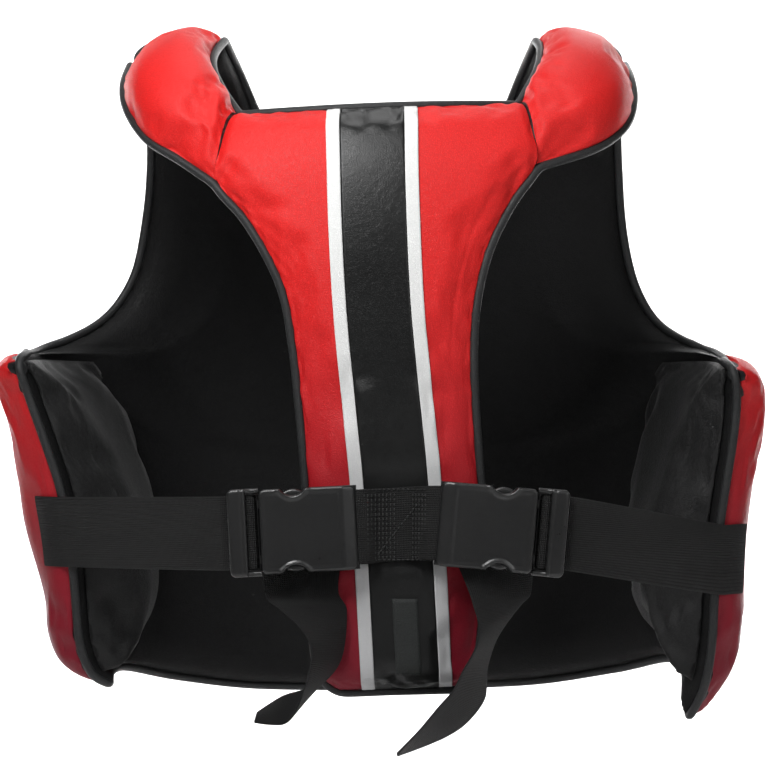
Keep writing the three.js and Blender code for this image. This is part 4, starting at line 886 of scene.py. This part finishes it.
def joined(stretches, closed=False, step=2.5):
    """Several paths in a row as one with even steps, its corners eased over a few steps."""
    path = np.concatenate([s[0] for s in stretches])
    off = np.concatenate([s[1] for s in stretches])
    if closed:
        path, off = np.concatenate([path, path[:1]]), np.concatenate([off, off[:1]])
    place = length_along(path)
    even = np.linspace(0, place[-1], int(place[-1] / step))
    values = np.concatenate([path, off], 1)
    values = np.stack([np.interp(even, place, column) for column in values.T], 1)
    ends = values[:1], values[-1:]
    for _ in range(4):
        if closed:
            ring = values[:-1]
            values = (np.roll(ring, 1, 0) + 2 * ring + np.roll(ring, -1, 0)) / 4
            values = np.concatenate([values, values[:1]])
        else:
            inner = (values[:-2] + 2 * values[1:-1] + values[2:]) / 4
            values = np.concatenate([ends[0], inner, ends[1]])
    return values[:, :3], values[:, 3:]


def tube(path, off, closed=False, radius=PIPING_RADIUS, sides=12):
    """A round section carried along a path: at each station a circle in the plane of the
    direction off the sheet and the one square to it. Open ends are closed in two smaller rings."""
    if closed:
        path, off = path[:-1], off[:-1]
        run = unit(np.roll(path, -1, 0) - np.roll(path, 1, 0))
    else:
        run = unit(np.gradient(path, axis=0))
    first = unit(off - (off * run).sum(-1, keepdims=True) * run)
    second = np.cross(run, first)
    angle = np.linspace(0, 2 * np.pi, sides, endpoint=False)[None, :, None]
    size = np.full(len(path), radius)
    if not closed:
        size[[0, -1]], size[[1, -2]] = 0.02, radius * 0.75
    rings = path[:, None] + size[:, None, None] * (
        np.cos(angle) * first[:, None] + np.sin(angle) * second[:, None]
    )
    if closed:
        rings = np.concatenate([rings, rings[:1]])
    points = rings.reshape(-1, 3)
    faces = grid_faces(len(rings), sides, closed=True)
    if closed:
        points = points[:-sides]
        faces = faces % len(points)
    return points, faces


left_pad, right_pad = shoulders["left"], shoulders["right"]
front_run = joined([
    beside(front[::-1, 0], front[::-1, 4]),
    beside(front[0], front[4]),
    beside(front[:, -1], front[:, -5]),
])
neck_run = joined([
    beside(front[-1, neck_cells][::-1], front[-5, neck_cells][::-1]),
    beside(left_pad[:, 0], left_pad[:, 4]),
    beside(back[0], back[4]),
    beside(right_pad[::-1, 0], right_pad[::-1, 4]),
], closed=True)
below = ~sewn_rows
back_run = joined([
    beside(right_pad[:, -1], right_pad[:, -5]),
    beside(back[below, -1], back[below, -5]),
    beside(back[-1, ::-1], back[-5, ::-1]),
    beside(back[below, 0][::-1], back[below, 4][::-1]),
    beside(left_pad[::-1, -1], left_pad[::-1, -5]),
])
piece("front_piping", *tube(*front_run), trim, "front_binding", slot="piping")
piece("neck_piping", *tube(*neck_run, closed=True), trim, "neck_binding", slot="piping")
piece("back_piping", *tube(*back_run), trim, "back_binding", slot="piping")


# ---------------------------------------------------------------- centre webbing
# One band of woven webbing is sewn across the back panel. Each end loops round a buckle's bar and
# is stitched back on itself.
WEBBING_HALF = 24.0
WEBBING = 1.6
PANEL_FACE = -1.14 * HALF[1] - BACK_HALF
BUCKLE_FORWARD = PANEL_FACE - 13.5
BAND_BACK = PANEL_FACE - (GAP + STRIPE) - 2 * GAP
BAND_THICK = 3.4  # both its layers
BAR_RADIUS = 2.2
# Bar's place across, height, droop in degrees, fold behind the buckle, heights on the wing.
BUCKLE_PLACES = {
    "left": (-0.078, -0.366, 3.0, 34.5, -0.4, -0.42),
    "right": (0.144, -0.356, 5.0, 36.0, -0.476, -0.43),
}


def woven(name, across, normals, nodes, closed=False):
    """A ribbon. Three points across each station, top, middle and bottom, are joined by a parabola,
    and its two faces stand half a thickness off it, drawn in at both edges. Its UV map runs across
    from 0 to 1 and along in widths of webbing."""
    steps = np.linspace(-1, 1, 25)
    steps = np.sign(steps) * (1 - (1 - np.abs(steps)) ** 1.5)
    shares = np.stack([steps * (steps - 1) / 2, 1 - steps**2, steps * (steps + 1) / 2])
    middle = np.einsum("kw,skx->swx", shares, across)
    edge = np.sqrt(np.clip(1 - np.abs(steps) ** 16, 0, 1)) * WEBBING / 2
    lift = normals[:, None] * edge[None, :, None]
    upper, lower = middle + lift, middle - lift
    ring = np.concatenate([upper, lower[:, -2:0:-1]], 1)
    along = length_along(across[:, 1])
    v = np.concatenate([(steps + 1) / 2, (steps[-2:0:-1] + 1) / 2])
    rows, columns = ring.shape[:2]
    uv = np.stack([np.tile(v, rows), np.repeat(along / (2 * WEBBING_HALF), columns)], 1)
    faces = grid_faces(rows, columns, closed=True)
    points = ring.reshape(-1, 3)
    if closed:
        points, uv = points[:-columns], uv[:-columns]
        faces = faces % len(points)
    made = piece(name, points, faces, web, *nodes, slot="webbing")
    layer = made.data.uv_layers.new(name="weave")
    corners = np.empty(len(made.data.loops), np.int32)
    made.data.loops.foreach_get("vertex_index", corners)
    layer.data.foreach_set("uv", uv[corners].astype(np.float32).ravel())


woven_threads = effect(
    "woven_threads", {"Ends across": (FLOAT, 34.0), "Picks along": (FLOAT, 44.0)},
    {"Height": FLOAT, "Gap": FLOAT},
    {
        "map": ("ShaderNodeUVMap", {}, {"uv_map": "weave"}),
        "parts": ("ShaderNodeSeparateXYZ", {"Vector": ("map", "UV")}, {}),
        "ends": ("ShaderNodeMath", {0: ("parts", "X"), 1: ("in", "Ends across")},
                 {"operation": "MULTIPLY"}),
        "picks": ("ShaderNodeMath", {0: ("parts", "Y"), 1: ("in", "Picks along")},
                  {"operation": "MULTIPLY"}),
        "turn_x": ("ShaderNodeMath", {0: ("ends", "Value"), 1: math.pi}, {"operation": "MULTIPLY"}),
        "turn_y": ("ShaderNodeMath", {0: ("picks", "Value"), 1: math.pi},
                   {"operation": "MULTIPLY"}),
        "wave_x": ("ShaderNodeMath", {0: ("turn_x", "Value")}, {"operation": "SINE"}),
        "wave_y": ("ShaderNodeMath", {0: ("turn_y", "Value")}, {"operation": "SINE"}),
        "crossed": ("ShaderNodeMath", {0: ("wave_x", "Value"), 1: ("wave_y", "Value")},
                    {"operation": "MULTIPLY"}),
        "over": ("ShaderNodeMath", {0: ("crossed", "Value")}, {"operation": "ABSOLUTE"}),
        "gap": ("ShaderNodeMath", {0: 1.0, 1: ("over", "Value")}, {"operation": "SUBTRACT"}),
    },
    {"Height": ("over", "Value"), "Gap": ("gap", "Value")},
)
web = finish_of("black_webbing", {
    "weave": group(woven_threads),
    "tone": group(cloudy_tone, Main=(0.015, 0.015, 0.0152, 1), Other=(0.032, 0.032, 0.032, 1),
                  Clouds_per_metre=45.0),
    "depth": ("ShaderNodeMath", {0: ("weave", "Gap"), 1: 0.75}, {"operation": "MULTIPLY"}),
    "threads": ("ShaderNodeMixRGB", {
        "Fac": ("depth", "Value"), "Color1": ("tone", "Color"),
        "Color2": (0.003, 0.003, 0.003, 1)}, {}),
    "woven": ("ShaderNodeBump", {"Height": ("weave", "Height"), "Distance": 0.0009}, {}),
}, {
    "Base Color": ("threads", "Color"), "Normal": ("woven", "Normal"), "Roughness": 0.7,
    "Specular IOR Level": 0.35,
})


def band_path():
    """The band's middle seen from above, as places across and back: half circles round both bars,
    an outer layer that dips to the panel between them, and an inner layer along the panel."""
    reach = BAR_RADIUS + GAP + WEBBING / 2
    ends = [BUCKLE_PLACES[side][0] * HALF[0] for side in ("left", "right")]
    face = BAND_BACK
    shares = np.array([0.14, 0.28, 0.42])
    outer_y = np.array([
        BUCKLE_FORWARD - 0.4 * reach, face - BAND_THICK * 1.44, face - BAND_THICK,
    ]) + WEBBING / 2
    inner_y = np.array([mix(BUCKLE_FORWARD + reach, face, 0.5), face, face]) - WEBBING / 2
    turn = np.linspace(0, np.pi, 13)

    def half_circle(end, start):
        angle = start + turn
        return np.stack([end + reach * np.cos(angle), BUCKLE_FORWARD + reach * np.sin(angle)], 1)

    def layer(first, last, depths):
        there = np.stack([mix(first, last, shares), depths], 1)
        back_again = np.stack([mix(last, first, shares[::-1]), depths[::-1]], 1)
        return np.concatenate([there, back_again])

    stops = np.concatenate([
        half_circle(ends[0], np.pi / 2), layer(ends[0], ends[1], outer_y),
        half_circle(ends[1], -np.pi / 2), layer(ends[1], ends[0], inner_y),
    ])
    return np.concatenate([stops, stops[:1]]), ends


stops, band_ends = band_path()
place = length_along(stops)
flat_path = through(place, stops, np.linspace(0, place[-1], 181))
middle_x = (band_ends[0] + band_ends[1]) / 2
from_middle = np.abs(flat_path[:, 0] - middle_x)
away_share = np.clip(from_middle / (band_ends[1] - middle_x - 4.15), 0, 1) ** 2
to_right = ease(flat_path[:, 0], *band_ends)
left_lean, right_lean = (
    math.tan(math.radians(BUCKLE_PLACES[side][2])) for side in ("left", "right"))
lean = np.where(flat_path[:, 0] < middle_x, -left_lean, right_lean) * away_share
height = mix(BUCKLE_PLACES["left"][1], BUCKLE_PLACES["right"][1], to_right) * HALF[2]
band_points = np.stack([
    np.stack([flat_path[:, 0] + lean * z, flat_path[:, 1], height + z], 1)
    for z in (WEBBING_HALF, 0, -WEBBING_HALF)
], 1)
run = unit(np.roll(flat_path[:-1], -1, 0) - np.roll(flat_path[:-1], 1, 0))
run = np.concatenate([run, run[:1]])
band_normals = np.stack([run[:, 1], -run[:, 0], 0 * run[:, 0]], 1)
woven("centre_band", band_points, band_normals, ["centre_webbing"], closed=True)


# ---------------------------------------------------------------- straps
# A webbing strap is sewn flat on each wing, comes over its piping and round the plug's bar, folds
# down behind the buckle and hangs as a loose end, which twists as it falls.
# Stations of the loose ends: place across, height and forward place of the middle, and then the
# direction across the webbing.
TAILS = {
    "left": np.array([
        [-0.216, -0.54, -1.26, 1, 0, 0], [-0.162, -0.61, -1.4, 0.66, 0.75, 0],
        [-0.148, -0.688, -1.43, 0.4, 0.91, -0.1], [-0.174, -0.768, -1.41, 0.38, 0.9, 0.2],
        [-0.216, -0.82, -1.37, 0.3, 0.88, 0.36], [-0.272, -0.838, -1.33, 0.1, 0.95, 0.3],
        [-0.334, -0.86, -1.28, 0, 1, 0.03],
    ]),
    "right": np.array([
        [0.3, -0.54, -1.26, 0.85, 0.53, 0], [0.284, -0.6, -1.35, 0.5, 0.86, 0],
        [0.26, -0.664, -1.38, 0.3, 0.95, 0], [0.232, -0.732, -1.4, 0.34, 0.93, -0.1],
        [0.216, -0.796, -1.38, 0.45, 0.86, -0.2], [0.168, -0.856, -1.35, 0.35, 0.87, -0.35],
        [0.104, -0.908, -1.31, 0.15, 0.93, -0.3], [0.032, -0.956, -1.28, 0, 0.98, -0.15],
    ]),
}


def buckle_place(side, points):
    """Points of a buckle's own frame, whose first axis runs outward from its bar, put on the guard:
    turned about the line through the back by the buckle's droop, then moved to its bar."""
    bar, up, droop = BUCKLE_PLACES[side][:3]
    angle = math.pi - math.radians(droop) if side == "left" else math.radians(droop)
    x = points[..., 0] * math.cos(angle) + points[..., 2] * math.sin(angle)
    z = points[..., 2] * math.cos(angle) - points[..., 0] * math.sin(angle)
    return np.stack([x + bar * HALF[0], points[..., 1] + BUCKLE_FORWARD, z + up * HALF[2]], -1)


def strap_stations(side):
    """Top, middle and bottom points of a strap's stations from the wing to its tip."""
    fold, wing, knee = BUCKLE_PLACES[side][3:]
    sign = -1 if side == "left" else 1
    lift = GAP + WEBBING / 2
    heights = [wing * HALF[2] + WEBBING_HALF, knee * HALF[2], wing * HALF[2] - WEBBING_HALF]

    def at_heights(line):
        rows = line[:, 2].argmax() + 1
        return np.stack([np.interp(heights, line[:rows, 2], line[:rows, k]) for k in range(3)], -1)

    shares = sign * front_u
    columns = np.flatnonzero((shares >= 0.955) & (shares <= 0.986 + 1e-6))[::2]
    columns = columns[np.argsort(shares[columns])]
    raised = front_out + front_normals * (lift + GAP)
    stations = [at_heights(raised[:, i]) for i in columns]
    edge, inside = (front[:, 0], front[:, 4]) if sign < 0 else (front[:, -1], front[:, -5])
    off = unit(edge - inside)
    edge_normals = front_normals[:, 0 if sign < 0 else -1]
    leaning = unit(mix(edge_normals, off, 0.6))
    over_piping = leaning * (PIPING_RADIUS + lift + 2 * GAP)
    stations.append(at_heights(edge + off * PIPING_CLEAR + over_piping))

    def level(x, y):
        return buckle_place(side, np.array([[x, y, sign * k * WEBBING_HALF] for k in (1, 0, -1)]))

    # How far the webbing runs behind the plug, in front of its bar and in its second layer.
    behind, above, layer = 2.5 + lift, -(1.1 + lift + GAP), 6.5 + lift
    for x, y in [
        (86, behind), (73.4, behind + 0.3), (70.5, 0.8), (69.1, above * 0.75), (66.9, above),
        (64.7, above * 0.75), (63.9, 0.8), (62.8, behind + 1.6), (60.4, layer + GAP),
        (fold + WEBBING_HALF + 0.6, layer),
    ]:
        stations.append(level(x, y))

    def fold_line(shift, y):
        return buckle_place(side, np.array([
            [fold + k * WEBBING_HALF - shift, y, sign * (k * WEBBING_HALF + shift)]
            for k in (1, 0, -1)
        ]))

    stations += [fold_line(0, layer), fold_line(0.74, layer + 1.05), fold_line(0, layer + 2.1)]
    rows = rows_of(TAILS[side], np.linspace(0, len(TAILS[side]) - 1, 2 * len(TAILS[side]) - 1))
    centres = rows[:, [0, 2, 1]] * HALF
    widths = unit(rows[:, 3:]) * WEBBING_HALF * sign
    stations += [np.stack([c + w, c, c - w]) for c, w in zip(centres, widths)]
    return np.array(stations)


for side in ("left", "right"):
    stations = strap_stations(side)
    place = length_along(stations[:, 1])
    places = np.unique(np.concatenate([np.linspace(0, place[-1], 260), place]))
    points = through(place, stations.reshape(len(stations), 9), places).reshape(-1, 3, 3)
    normals = unit(np.cross(np.gradient(points[:, 1], axis=0), points[:, 2] - points[:, 0]))
    turned = np.sign((normals[1:] * normals[:-1]).sum(-1))
    normals = normals * np.concatenate([[1], np.cumprod(turned)])[:, None]
    woven(f"webbing_strap_{side}", points, normals, [f"strap_{side}"])


# ---------------------------------------------------------------- buckles
# Moulded side-release buckles: a socket on the centre band and a plug on each strap. A thin face is
# moulded over each half, over the webbing's bar too, with thumb notches at the socket's sides.
plastic = leather("buckle_plastic", (0.0085, 0.0087, 0.009), (0.0065, 0.0067, 0.007),
                  (0.005, 0.005, 0.005), 0.32, creases=8.0, crease_depth=0.0001,
                  grain_depth=0.00006, specular=0.75)
# Places along a buckle run outward from the socket's bar. Widths are half the whole, in mm.
NOTCH_AT, NOTCH_RADIUS, NOTCH_DEPTH = 39.0, 9.5, 4.5
SOCKET_START, SOCKET_END, SOCKET_HALF = -1.5, 60.8, 27.3
FRAME_START, FRAME_END, FRAME_HALF = 69.4, 81.3, 28.4
RAIL_START, RAIL_END, RAIL_WIDE = 60.9, 71.5, 3.4
BUTTON_START, BUTTON_LONG = 30.6, 16.8


def corner_cut(from_end, radius=4):
    """How far a round corner draws a side in, at a distance from the end: a quarter circle."""
    return radius - np.sqrt(
        np.clip(radius**2 - (radius - np.clip(from_end, 0, radius)) ** 2, 0, None))


def socket_half_width(x):
    """Half the socket's width, less a circle's arc at the thumb notches and a round corner at
    both ends."""
    arc = np.sqrt(np.clip(NOTCH_RADIUS**2 - (x - NOTCH_AT) ** 2, 0, None))
    notch = np.clip(arc - (NOTCH_RADIUS - NOTCH_DEPTH), 0, None)
    return SOCKET_HALF - notch - corner_cut(np.minimum(x - SOCKET_START, SOCKET_END - x))


def moulding_grid(x_stops, z_stops, each):
    """Places along and across a buckle, finer towards the edges."""
    return np.meshgrid(
        spread(np.linspace(*x_stops), each), spread(np.linspace(*z_stops), each), indexing="ij")


def moulding(name, side, x, z, outer, inner):
    """A plastic shell between two depths in front of a buckle's middle."""
    def put(y):
        return buckle_place(side, np.stack([x, -y, (-1 if side == "left" else 1) * z], -1))
    piece(f"buckle_{name}_{side}", *closed_skin(put(outer), put(inner)), plastic,
          slot="buckle_plastic")


for side in ("left", "right"):
    for name in (f"buckle_socket_{side}", f"buckle_plug_{side}"):
        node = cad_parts[name]
        node.data.materials.clear()
        node.data.materials.append(plastic)

    # The socket's face: a sunk panel inside a rounded edge, a lip round each thumb notch, and a
    # slope down to the bar.
    x, across = moulding_grid((SOCKET_START, SOCKET_END, 15), (-1, 1, 9), 7)
    half = socket_half_width(x)
    z = across * half
    to_end = np.minimum(x - SOCKET_START, SOCKET_END - x)
    edge = np.minimum((1 - np.abs(across)) * half, to_end)
    notch_centre = SOCKET_HALF + NOTCH_RADIUS - NOTCH_DEPTH
    to_notch = np.hypot(x - NOTCH_AT, notch_centre - np.abs(z)) - NOTCH_RADIUS
    lip = 0.8 * np.exp(-((to_notch - 1.6) / 1.1) ** 2)
    slope = 2.6 * np.clip((6.5 - x) / 8, 0, 1)
    panel = 0.45 * ease(x, 8, 10) * ease(SOCKET_END - x, 2, 4) * ease(half - np.abs(z), 2.2, 4)
    face = 6.3 + 1.5 * rounded(edge, 2.2) + lip - panel - slope
    below = np.full_like(face, 6.2) - 1.0 * (1 - ease(x, SOCKET_START, 7.0))
    below = below - 1.6 * (1 - rounded(edge, 1.4))
    moulding("face", side, x, z, face, np.minimum(below, face - 0.4))

    # The plug's end frame, with a shallow groove along it.
    x, z = moulding_grid((FRAME_START, FRAME_END, 7), (-FRAME_HALF, FRAME_HALF, 15), 5)
    half = FRAME_HALF - corner_cut(FRAME_END - x)
    z = z * half / FRAME_HALF
    edge = np.minimum(np.minimum(x - FRAME_START, FRAME_END - x), half - np.abs(z))
    face = 5.0 + 1.8 * rounded(edge, 2.6) - 0.35 * np.exp(-((x - 72.6) / 0.8) ** 2)
    moulding("frame_face", side, x, z, face, 4.2 + 0 * face)

    # Two rails join the frame to the socket.
    for end, low in (("top", FRAME_HALF - RAIL_WIDE), ("bottom", -FRAME_HALF)):
        x, z = moulding_grid((RAIL_START, RAIL_END, 6), (low, low + RAIL_WIDE, 4), 5)
        edge = np.minimum(x - RAIL_START + 0.6, np.minimum(z - low, low + RAIL_WIDE - z))
        face = 3.0 + 2.0 * rounded(edge, 1.5) + 1.0 * ease(x, 66, 71)
        moulding(f"rail_{end}", side, x, z, face, 2.6 + 0 * face)

    # The plug's side buttons bulge in the notches as half a sine.
    for end, sign in (("bottom", -1), ("top", 1)):
        x, t = np.meshgrid(
            BUTTON_START + np.linspace(0, BUTTON_LONG, 25), np.linspace(0, 1, 9), indexing="ij")
        along = np.clip((x - BUTTON_START) / BUTTON_LONG, 0, 1)
        z = sign * (21.5 + t * (1.0 + 4.2 * np.sin(np.pi * along) ** 0.7))
        button = 3.2 + 0.9 * rounded(np.minimum(1 - t, 0.6) * 6, 3)
        moulding(f"button_{end}", side, x, z, button, -button)


# ---------------------------------------------------------------- stitching
# Black bonded thread holds the band on the panel in close upright rows, a slanting row and a row
# along each edge. Each stitch is a short capsule that dips into the webbing at both ends.
thread = finish_of("black_thread", {
    "tone": group(cloudy_tone, Main=(0.03, 0.03, 0.03, 1), Other=(0.02, 0.02, 0.02, 1),
                  Clouds_per_metre=90.0),
}, {"Base Color": ("tone", "Color"), "Roughness": 0.55})


def stitches(name, starts, ends, normals, width=0.42):
    """One mesh of many stitches. Each is five rings of six points from start to end, on an arch
    that rises off the cloth as the sine of the way along."""
    t = np.array([0.0, 0.2, 0.5, 0.8, 1.0])[None, :, None, None]
    run = unit(ends - starts)[:, None, None]
    up = normals[:, None, None]
    side = np.cross(run, up)
    angle = np.linspace(0, 2 * np.pi, 6, endpoint=False)[None, None, :, None]
    middle = mix(starts[:, None, None], ends[:, None, None], t)
    middle = middle + up * (np.sin(np.pi * t) - 0.4) * width
    thick = width * np.sqrt(np.clip(1 - (2 * t - 1) ** 4, 0.02, 1))
    points = middle + (np.cos(angle) * side + np.sin(angle) * up) * thick
    ring = grid_faces(5, 6, closed=True)
    caps = np.array([[0, 5, 4, 3], [0, 3, 2, 1], [24, 25, 26, 27], [24, 27, 28, 29]])
    faces = np.concatenate([ring, caps])[None] + 30 * np.arange(len(starts))[:, None, None]
    piece(name, points.reshape(-1, 3), faces.reshape(-1, 4), thread, slot="webbing")


def sewn_row(path, length=2.3, gap=0.8):
    """Where the stitches of one row start and end along a path of points."""
    place = length_along(path)
    first = np.arange(0, place[-1] - length, length + gap)
    return [
        np.stack([np.interp(at, place, column) for column in path.T], 1)
        for at in (first, first + length)
    ]


face_y = BAND_BACK - BAND_THICK
band_up = mix(BUCKLE_PLACES["left"][1], BUCKLE_PLACES["right"][1], 0.5) * HALF[2]


def on_band(x, z):
    """Points on the band's outer face, which leaves the panel a little towards both buckles."""
    share = np.clip(np.abs(x - middle_x) / (band_ends[1] - middle_x), 0, 1)
    depth = np.interp(share, [0.16, 0.44, 0.72], [face_y, face_y - 1.5, BUCKLE_FORWARD - 1.34])
    return np.stack([x, depth - 0.15, band_up + z], -1)


rows = [sewn_row(on_band(np.full(40, px), np.linspace(-22.5, 22.5, 40)))
        for px in np.concatenate([np.linspace(-13.5, 6.0, 9), np.linspace(18, 26, 5)])]
slant = np.linspace(0, 1, 40)
rows.append(sewn_row(on_band(mix(-5.0, 26.0, slant), mix(-20.0, 20.0, slant))))
rows += [sewn_row(on_band(np.linspace(-14, 26.5, 40), np.full(40, z))) for z in (-22.8, 22.8)]
starts, ends = np.concatenate([r[0] for r in rows]), np.concatenate([r[1] for r in rows])
stitches("band_stitches", starts, ends, np.tile([0.0, -1.0, 0.0], (len(starts), 1)))
